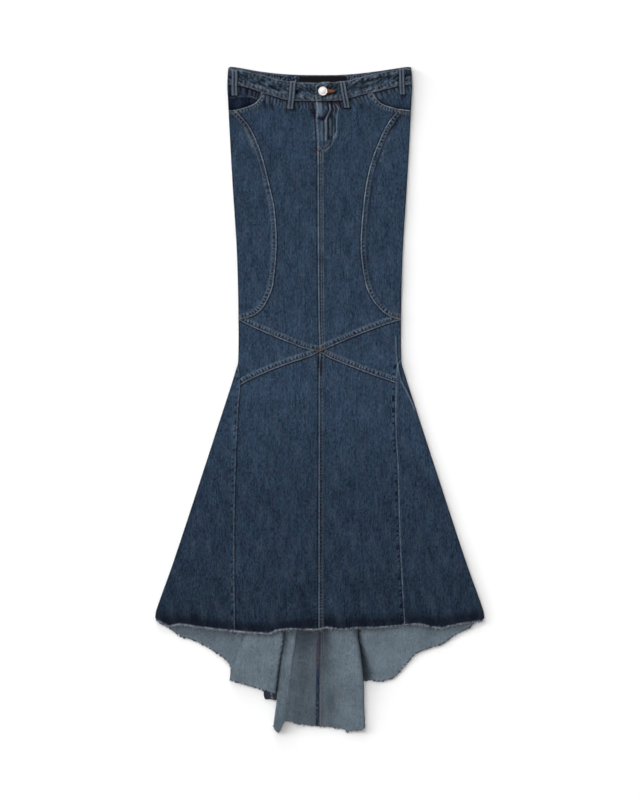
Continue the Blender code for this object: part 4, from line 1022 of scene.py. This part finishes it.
rightParts, rightEnd = trainHalf("right", raisedEdge, raisedHem, -1, raisedLevels)
leftParts, leftEnd = trainHalf("left", openEdge, openHem, 1, openLevels)
foldLine = curveThrough(foldSide)
foldRuns = [(foldLine, "plain"), (curveThrough(foldHem), "raw"), (curveThrough(foldInner), "plain"),
            (np.linspace(foldInner[-1], foldSide[0], 40), "plain")]
folded, _ = backShell("foldedLayer", foldRuns, backRings, cells["folded"], 2 * layer, foldedDetail)
cornerOutline = curveThrough(turnedCorner + [(-90, -568), turnedCorner[0]], 1.2)
corner, _ = backShell("turnedCorner", [(cornerOutline, "plain")], [(0.8, 1), (2, 2)], cells["corner"], layer,
                      cornerDetail, looks=(denimFace, denimInside))
allowance = {"width": 7.4, "top": -452, "end": -652, "inset": 0.4, "height": 0.9}
seamYs = np.linspace(allowance["top"], allowance["end"], 90)
seamXs = across(backLine, seamYs) - allowance["inset"]
loose = 0.35 * uneven(seamYs, 0, 22, 61) + np.random.default_rng(5).normal(0, 0.12, len(seamYs))
near = np.column_stack([seamXs, seamYs])
far = np.column_stack([seamXs - allowance["width"] - loose, seamYs])[::-1]
stripRuns = [(np.vstack([line, other[:1]]), "plain") for line, other in ((near, far), (far, near))]
seamStrip, _ = backShell("seamAllowance", stripRuns, [(0.9, 1), (2.0, 1)], cells["allowance"], allowance["height"],
                         allowanceDetail, looks=(denimFace, denimFace))
joined("back_flare_right", rightParts + [folded, corner, seamStrip])
joined("back_flare_left", leftParts)
seamRows = {"beside": (2.8, 7.2), "top": -458, "end": -650, "pitch": 3.6, "height": 1.35, "stitch": (3.2, 0.7)}
for reach in seamRows["beside"]:
    ys = np.arange(seamRows["top"], seamRows["end"], -seamRows["pitch"])
    spots = np.column_stack([across(backLine, ys) + reach, ys])
    sew("plum", spots, np.full(len(ys), seamRows["height"]), np.full(len(ys), math.pi / 2), *seamRows["stitch"])
print("train laid")
# Waistband, label and belt loops
seamCurve, backWaistLine = curveThrough(bandSeam), curveThrough(backWaist)
waistButton = {"x": 6.3, "y": 616.6, "radius": 8.9, "body": 1.8, "rough": 0.34, "dark": rgb(203, 197, 196),
               "light": rgb(236, 231, 230), "above": 0.7, "bevel": 0.5, "sides": 64, "foot": [(4.45, -0.4)],
               "rings": [(1.4, 0.25), (0.9, -0.35), (1.2, 0.3), (2.4, 0.35), (1.6, 0.1)]}


def tabHeight(x, y):  # the tab lies over the band's other end
    return frontFloor(x, y) + (cloth["band"] + cloth["gap"]) * ramp(-x, -34, -16)


# parts: x where the lines that run down towards the button from both sides meet; slant: their course;
# coarse, patches, fine: size, seed and length; hole: the buttonhole's ends and width
bandLines = {"parts": -9.8, "slant": (0.86, 0.5), "coarse": (7.5, 51, 5.0), "patches": (12, 54, 1.5),
             "fine": (4.2, 53, 4.5), "hole": (15.5, 617.4, 29, 617.1, 3.4)}


def bandDetail(x, y):  # rope-like drag lines across the waistband
    out = np.where(x > bandLines["parts"], x + 300, -x)
    flat, steep = bandLines["slant"]
    along, aside = flat * out + steep * y, flat * y - steep * out
    drag = uneven(aside, along, *bandLines["coarse"]) + 0.36 * uneven(x, y, *bandLines["patches"])
    drag = 0.8 * np.tanh(1.7 * drag * (0.75 + 0.5 * uneven(x, y, 40, 55)))
    fine = uneven(aside, along, *bandLines["fine"])
    button = np.hypot(x - waistButton["x"], y - waistButton["y"])
    # painted shadow in a ring round the button, and painted shade on the tab to its right
    tone = (0.7 + 0.46 * drag + 0.22 * fine) * (1 - 0.64 * bump(button, 11.5, 5)) * (1 - 0.46 * bump(x, 28, 12))
    tone = tone * loopShade(x, y) * (1 + 0.4 * uneven(x, 1.6 * y, 34, 56))
    worn = 0.32 * np.clip(drag, 0, 1) ** 1.5 + 0.18 * np.clip(fine, 0, 1)
    hole = crease(x, y, *bandLines["hole"])
    return 0.45 * drag + 0.2 * fine - 0.5 * hole, tone * (1 - 0.3 * hole), worn * (1 - hole), 0.2 * hole


def bandPiece(node, runs, floor):
    piece, area, surface, outline, runs = laidShell(node + "_cloth", runs, fineRings, cells["band"], floor,
                                                    bandDetail, cloth["band"], (denimFace, denimInside))
    fitCloth(piece, node, area, ["waistband_back_cloth"])
    sewRows(runs, surface, outline)
    return surface


def backBandDetail(x, y):
    worn = 0.3 * bump(across(backWaistLine, x, 0) - y, 2.6, 0.9) + 0.6 * np.clip(uneven(x, y, 5, 73), 0, 1) ** 2
    return 0.12 * uneven(x, y, 14, 71), 0.4 + 0.5 * uneven(x, y, 6, 72, 0.8), worn, -0.1 + 0 * x


def labelDetail(x, y):
    return 0.08 * uneven(x, y, 12, 81) - 0.3 * fall(label["top"] - y, 0, 1.2), 1 + 0 * x, 0 * x, 0 * x


bandPiece("waistband_front_right", [
    (curveThrough(frontWaist), "bandTop"), (np.linspace((8, 635.6), (8, 597), 22), "plain"),
    (stretch(seamCurve, 8, -beyondSide, 0), "bandFoot"), (side(-1, bandSide, 663), "side")], frontFloor)
leftBand = bandPiece("waistband_front_left", [
    (curveThrough(tabEdge), "bandTop"), (curveThrough(frontWaistLeft), "bandTop"), (side(1, 663, bandSide), "side"),
    (stretch(seamCurve, beyondSide, -7.5, 0), "bandFoot")], tabHeight)
backBand, area = backShell("waistband_back_cloth", [
    (backWaistLine, "plain"), (side(1, 664, bandSide) - (setBack["band"], 0), "plain"),
    (stretch(backSeam, beyondSide, -beyondSide, 0), "plain"),
    (side(-1, bandSide, 664) + (setBack["band"], 0), "plain")],
    [(0.8, 1), (2, 1), (4, 1)], cells["backBand"], 0, backBandDetail, cloth["band"], (denimDarkFace, denimDarkFace))
fitCloth(backBand, "waistband_back", area, ["floor"])

label = {"left": -40.5, "right": 53.5, "foot": 623.0, "top": 647.5, "height": 1.9, "thick": 0.8,
         "dark": rgb(8, 8, 10), "light": rgb(20, 20, 24), "relief": 0.1}
look = Look("labelBlack", {"Roughness": 0.85, "Specular IOR Level": 0.1})
weave = look.node("ShaderNodeTexWave", {"bands_direction": "Y"},
                  {"Vector": look.place((1000, 1000, 1000)), "Scale": 0.55, "Distortion": 0.6}, "Fac")
blackWeave = look.twoTone(weave, label)
corners = [(label[x], label[y]) for x, y in (("left", "foot"), ("right", "foot"), ("right", "top"), ("left", "top"))]
labelRuns = [(np.linspace(a, b, 24), "plain") for a, b in zip(corners, corners[1:] + corners[:1])]
labelPiece, area = backShell("waist_label_cloth", labelRuns, [(0.8, 1), (2.4, 2)], cells["label"], label["height"],
                             labelDetail, label["thick"], (blackWeave, blackWeave))
fitCloth(labelPiece, "waist_label", area, ["waistband_back_cloth"])

# rows: along the loop; section: share of half the width, height
loopShape = {"rows": 40, "thick": 1.4, "bow": 0.9, "seat": 0.5, "quad": [(0, 0), (1, 0), (1, 1), (0, 1)],
             "section": [(-1.0, -0.75), (-0.97, -0.25), (-0.86, -0.05), (-0.7, 0.12), (-0.53, 0.26), (-0.36, 0.1),
                         (-0.16, -0.16), (0.16, -0.16), (0.36, 0.1), (0.53, 0.26), (0.7, 0.12), (0.86, -0.05),
                         (0.97, -0.25), (1.0, -0.75)]}


def beltLoop(node, topX, topY, endX, endY, width):
    def spot(share, off=0):
        return topX + (endX - topX) * share + off, topY + (endY - topY) * share

    rows = loopShape["rows"]
    share = np.arange(rows + 1)[:, None] / rows
    aside, lift = np.array(loopShape["section"]).T
    middle, y = spot(share)
    under = np.where(y > across(seamCurve, middle, 0) - 4, cloth["band"], cloth["thick"])
    base = frontFloor(middle, y) + under + loopShape["seat"] + (loopShape["bow"] * np.sin(math.pi * share)
                                                               + loopShape["thick"])
    ends = ramp(share, 0, 0.03) * ramp(1 - share, 0, 0.03)
    x = middle + aside * width / 2 + 0.25 * np.sin(9 * share + topX)
    z = base + lift * np.where(lift > 0, 1.2, 1) - 0.5 * (1 - ends)
    ridge, groove, rim = bump(np.abs(aside), 0.53, 0.24), bump(aside, 0, 0.2), bump(np.abs(aside), 1.0, 0.12)
    # the rims and the lower end of the loop are darkened: painted shade, with plum on the rims
    tone = 1.0 - 0.4 * groove - 0.8 * rim + 0.12 * np.sin(40 * share + 3 * topX)
    rust = 0.5 * bump(share, 0.015, 0.015) * (-100 < topX < 100)
    finish = (tone * (1 - 0.4 * bump(share, 0.99, 0.02)), 0.42 * ridge + 0.2 * bump(share, 0.02, 0.02),
              -0.5 * groove - 0.3 * rim + 0.16 * ridge + rust)
    grid = np.stack(np.broadcast_arrays(x, y, z), axis=2)
    piece = gridShell(node + "_cloth", grid, loopShape["quad"], finish, loopShape["thick"], (denimFace, denimFace))
    fitCloth(piece, node, width * math.hypot(topX - endX, topY - endY),
             ["waistband_front_%s_cloth" % ("right" if topX < 0 else "left")])
    slope = math.atan2(topY - endY, topX - endX)
    for at in (0.035, 0.955):  # bartacks across both ends
        for n in range(9):
            sew("tonal", [spot(at, (n - 4) / 4 * (width / 2 - 1.6))], [z[round(at * rows), 6] + 0.25],
                [slope + 0.25 * (-1) ** n], 2.4, 0.7)
    for off in (-0.36, 0.36):
        for n in range(3, rows - 2, 3):
            sew("tonal", [spot(n / rows, off * width / 2)], [z[n, 5] + 0.1], [slope], 2.8, 0.6)


for loop in beltLoops:
    beltLoop(*loop)
print("waistband, label and loops laid")

# Fly topstitching, bartacks and the buttonhole
flyRows = [[(34, 590), (34.6, 560), (33.5, 538), (30.5, 526), (24.5, 514), (17.5, 505), (8, 497)],
           [(28.5, 588), (28, 560), (26, 536), (21.6, 525), (15.6, 515.5), (9, 508), (2, 502)]]
# colour, ends of the bartack, stitches, their length
bartacks = [("rust", (-1.8, 506), (-1.4, 491), 14, 1.9), ("rust", (10.4, 504.5), (15.6, 510), 6, 1.7),
            ("rust", (6.4, 500), (9.8, 503), 5, 1.6), ("tonal", (1.3, 495), (1.3, 489.5), 5, 1.6)]
buttonhole = {"start": (14.0, 617.4, 4.6), "end": (29.5, 617.09, 0.9), "stitches": 34}  # x, y, reach of the stitches
frontLeft = panelSurface(frontRuns()["front_upper_left"], frontFloor, cloth["thick"], frontDetail)
for points in flyRows:
    line = curveThrough(points)
    length = lengthsAlong(line)
    at = np.arange(0.5, length[-1], 3.5)
    spots = spotsAt(line, length, at)
    ahead = spotsAt(line, length, at + 1) - spots
    sew("dim", spots, frontLeft(spots)[0] + 0.12, np.arctan2(ahead[:, 1], ahead[:, 0]), 2.9, 0.66)
for kind, start, end, count, length in bartacks:
    spots = np.linspace(start, end, count)
    turns = math.atan2(end[1] - start[1], end[0] - start[0]) + math.pi / 2 + 0.3 * (-1.0) ** np.arange(count)
    sew(kind, spots, frontLeft(spots)[0] + 0.3, turns, length, 0.75)
for n, (x, y, reach) in enumerate(np.linspace(buttonhole["start"], buttonhole["end"], buttonhole["stitches"])):
    for way in (-1, 1):
        spot = np.array([[x, y + way * reach * 0.5]])
        sew("copper", spot, leftBand(spot)[0] + 0.25, [math.pi / 2 + 0.2 * (-1) ** n], reach + 0.4, 0.8)
for kind, entries in stitches.items():
    drawStitches(kind, entries)
print("stitches", {kind: len(entries) for kind, entries in stitches.items()})


# Frayed hems
def strands(name, line, top, settings, seed, kind):
    draw = np.random.default_rng(seed)
    run = lengthsAlong(line)
    points, faces = [], []
    for _ in range(int(run[-1] * settings["perMm"])):
        at = draw.uniform(1, run[-1] - 1)
        (x, y), (aheadX, aheadY) = spotsAt(line, run, [at, at + 1])
        size = math.hypot(aheadX - x, aheadY - y)
        tx, ty = (aheadX - x) / size, (aheadY - y) / size
        length = settings["length"] * draw.lognormal(0, 0.5)
        lean = draw.normal(0, settings["lean"])
        dx, dy = ty + tx * lean, -tx + ty * lean
        size = math.hypot(dx, dy)
        dx, dy = dx / size, dy / size
        curl = draw.normal(0, 0.5) * length
        base = top(np.array([x]), np.array([y]))[0] + draw.uniform(-0.6, 0.1)
        thick = settings["thick"] * draw.uniform(0.6, 1.2)
        start = len(points)
        for share in (0, 1 / 3, 2 / 3, 1):
            out, bend, thin = (length + 1.2) * share - 1.2, curl * share * share, thick * (1 - 0.7 * share)
            rise = settings["rise"] * math.sin(2.2 * share) * draw.uniform(-0.4, 1) - settings["drop"] * share
            for a in (0.5, 2.6, 4.7):
                aside = bend + math.cos(a) * thin
                points.append((x + dx * out - dy * aside, y + dy * out + dx * aside,
                               max(base + rise + math.sin(a) * thin, 0.05)))
        for k in range(0, 9, 3):
            for c in range(3):
                a, b = start + k + c, start + k + (c + 1) % 3
                faces.append((a, b, b + 3, a + 3))
        faces += [(start + 2, start + 1, start), (start + 9, start + 10, start + 11)]
    threadPiece(name, points, faces, threadLooks[kind])


hemFray = {"perMm": 2.6, "length": 2.7, "lean": 0.9, "thick": 0.25, "rise": 0.6, "drop": 0.5}
thinHemFray = hemFray | {"perMm": 1.2, "length": 2.2}
trainFray = {"perMm": 1.6, "length": 2.1, "lean": 0.9, "thick": 0.22, "rise": 0.4, "drop": 0.3}
looseFray = {"perMm": 0.5, "length": 9.0, "lean": 0.4, "thick": 0.45, "rise": 1.4, "drop": 0.8}


def overFront(lift):
    return lambda x, y: frontFloor(x, y) + lift


def overRow(row):
    return lambda x, y: np.interp(x, row[:, 0], row[:, 2]) - 0.2


frays = [("front", hemLine, overFront(0.9), hemFray, 91, "fray"),
         ("front_dark", hemLine, overFront(0.8), thinHemFray, 90, "darkFray"),
         ("gore_right", curveThrough(goreHemRight), level(0.9), trainFray, 92, "darkFray"),
         ("gore_left", curveThrough(goreHemLeft)[::-1], level(0.9), trainFray, 93, "darkFray"),
         ("fold", curveThrough(foldHem), level(3.2), trainFray, 94, "darkFray"),
         ("loose", np.array([(-168, -462.5), (-158, -463.5)]), level(4.4), looseFray, 97, "fray"),
         ("loose_middle", np.array([(-133, -465.5), (-128, -466)]), level(4.6), looseFray, 98, "fray")]
for name, end, seed in (("train_right", rightEnd, 96), ("train_left", leftEnd, 94)):
    row = end[8:][np.argsort(end[8:, 0])]
    frays.append((name, row[:, :2], overRow(row), trainFray, seed, "darkFray"))
for name, *rest in frays:
    strands("fray_" + name, *rest)
print("hems frayed")


# Button: a turned shank button with a raised rim
def pickFaces(piece, sign):
    bpy.ops.mesh.select_all(action="DESELECT")
    shape = bmesh.from_edit_mesh(piece.data)
    for face in shape.faces:
        face.select_set(sign * face.normal.z > 0.9)
    bmesh.update_edit_mesh(piece.data)


def buttonPiece(settings):
    look = Look("buttonMetal", {"Metallic": 0.4, "Roughness": settings["rough"]})
    look.twoTone(look.cloud((900, 900, 900), 2.0), settings)
    x, y, radius, body = (settings[key] for key in ("x", "y", "radius", "body"))
    base = float(tabHeight(np.array([x]), np.array([y]))[0]) + cloth["band"] + settings["above"]
    bpy.ops.object.select_all(action="DESELECT")
    bpy.ops.mesh.primitive_cylinder_add(vertices=settings["sides"], radius=radius * mm, depth=body * mm,
                                        location=(x * mm, y * mm, (base + body / 2) * mm))
    button = bpy.context.object
    button.name = button.data.name = "waist_button_metal"
    bpy.ops.object.transform_apply(location=True, rotation=True, scale=True)
    bpy.ops.object.mode_set(mode="EDIT")
    bpy.ops.mesh.select_mode(type="FACE")
    for sign, rings in ((1, settings["rings"]), (-1, settings["foot"])):
        pickFaces(button, sign)
        for inset, lift in rings:
            bpy.ops.mesh.inset(thickness=inset * mm)
            bpy.ops.transform.translate(value=(0, 0, lift * mm))
    bpy.ops.object.mode_set(mode="OBJECT")
    bevel = button.modifiers.new("rounded", "BEVEL")
    bevel.width, bevel.segments, bevel.angle_limit = settings["bevel"] * mm, 3, math.radians(35)
    alone(button)
    bpy.ops.object.modifier_apply(modifier=bevel.name)
    bpy.ops.object.shade_smooth_by_angle(angle=math.radians(50))
    button.data.materials.clear()
    button.data.materials.append(look.material)
    fit(button, ["waist_button"])


buttonPiece(waistButton)
print("button turned")
# Floor, light and camera
studio = {"floor": 0.9, "world": 0.525,
          # share of the floor's light, height and turn in degrees, softness, what it lights
          "suns": {"key": (0.16, 23, 143, 30, "all"), "left": (0.1, 12, 160, 20, "all"),
                   "top": (0.08, 10.5, 97, 18, "all"), "fill": (0.22, 62, 120, 50, "cloth"),
                   "lowLeft": (0.15, 6.5, 165, 10, "floor"), "lowTop": (0.065, 5.5, 100, 8, "floor")},
          "size": 70, "under": -0.0004, "lens": 100, "sensor": 36, "camera": (0.0005, 0, 4.4444)}
bpy.ops.object.select_all(action="DESELECT")
bpy.ops.mesh.primitive_plane_add(size=studio["size"], location=(0, 0, studio["under"]))
floor = bpy.context.object
floor.name = "floor"
bpy.ops.object.transform_apply(location=True, rotation=True, scale=True)
floorLook = Look("floorWhite", {"Roughness": 0.9, "Specular IOR Level": 0.1,
                                "Base Color": (studio["floor"],) * 3 + (1,)})
floor.data.materials.append(floorLook.material)

world = bpy.data.worlds.new("studio")
world.use_nodes = True
world.node_tree.nodes["Background"].inputs["Color"].default_value = (1, 1, 1, 1)
world.node_tree.nodes["Background"].inputs["Strength"].default_value = studio["world"]
bpy.context.scene.world = world
for name, (share, height, turn, soft, lights) in studio["suns"].items():
    height, turn = math.radians(height), math.radians(turn)
    sunData = bpy.data.lights.new(name, "SUN")
    sunData.energy = share * math.pi / (studio["floor"] * math.sin(height))
    sunData.angle = math.radians(soft)
    sun = bpy.data.objects.new(name, sunData)
    start = Vector((math.cos(height) * math.cos(turn), math.cos(height) * math.sin(turn), math.sin(height)))
    sun.location = 3 * start
    sun.rotation_euler = (-start).to_track_quat("-Z", "Y").to_euler()
    bpy.context.scene.collection.objects.link(sun)
    if lights != "all":  # the long soft shadows are the floor's alone
        reach = bpy.data.collections.new(name + "Reach")
        reach.objects.link(floor)
        reach.collection_objects[0].light_linking.link_state = "INCLUDE" if lights == "floor" else "EXCLUDE"
        sun.light_linking.receiver_collection = reach

cameraData = bpy.data.cameras.new("camera")
cameraData.lens, cameraData.sensor_width = studio["lens"], studio["sensor"]
camera = bpy.data.objects.new("camera", cameraData)
camera.location = studio["camera"]
bpy.context.scene.collection.objects.link(camera)
bpy.context.scene.camera = camera
bpy.context.scene.view_settings.view_transform = "Standard"
bpy.context.scene.view_settings.look = "None"
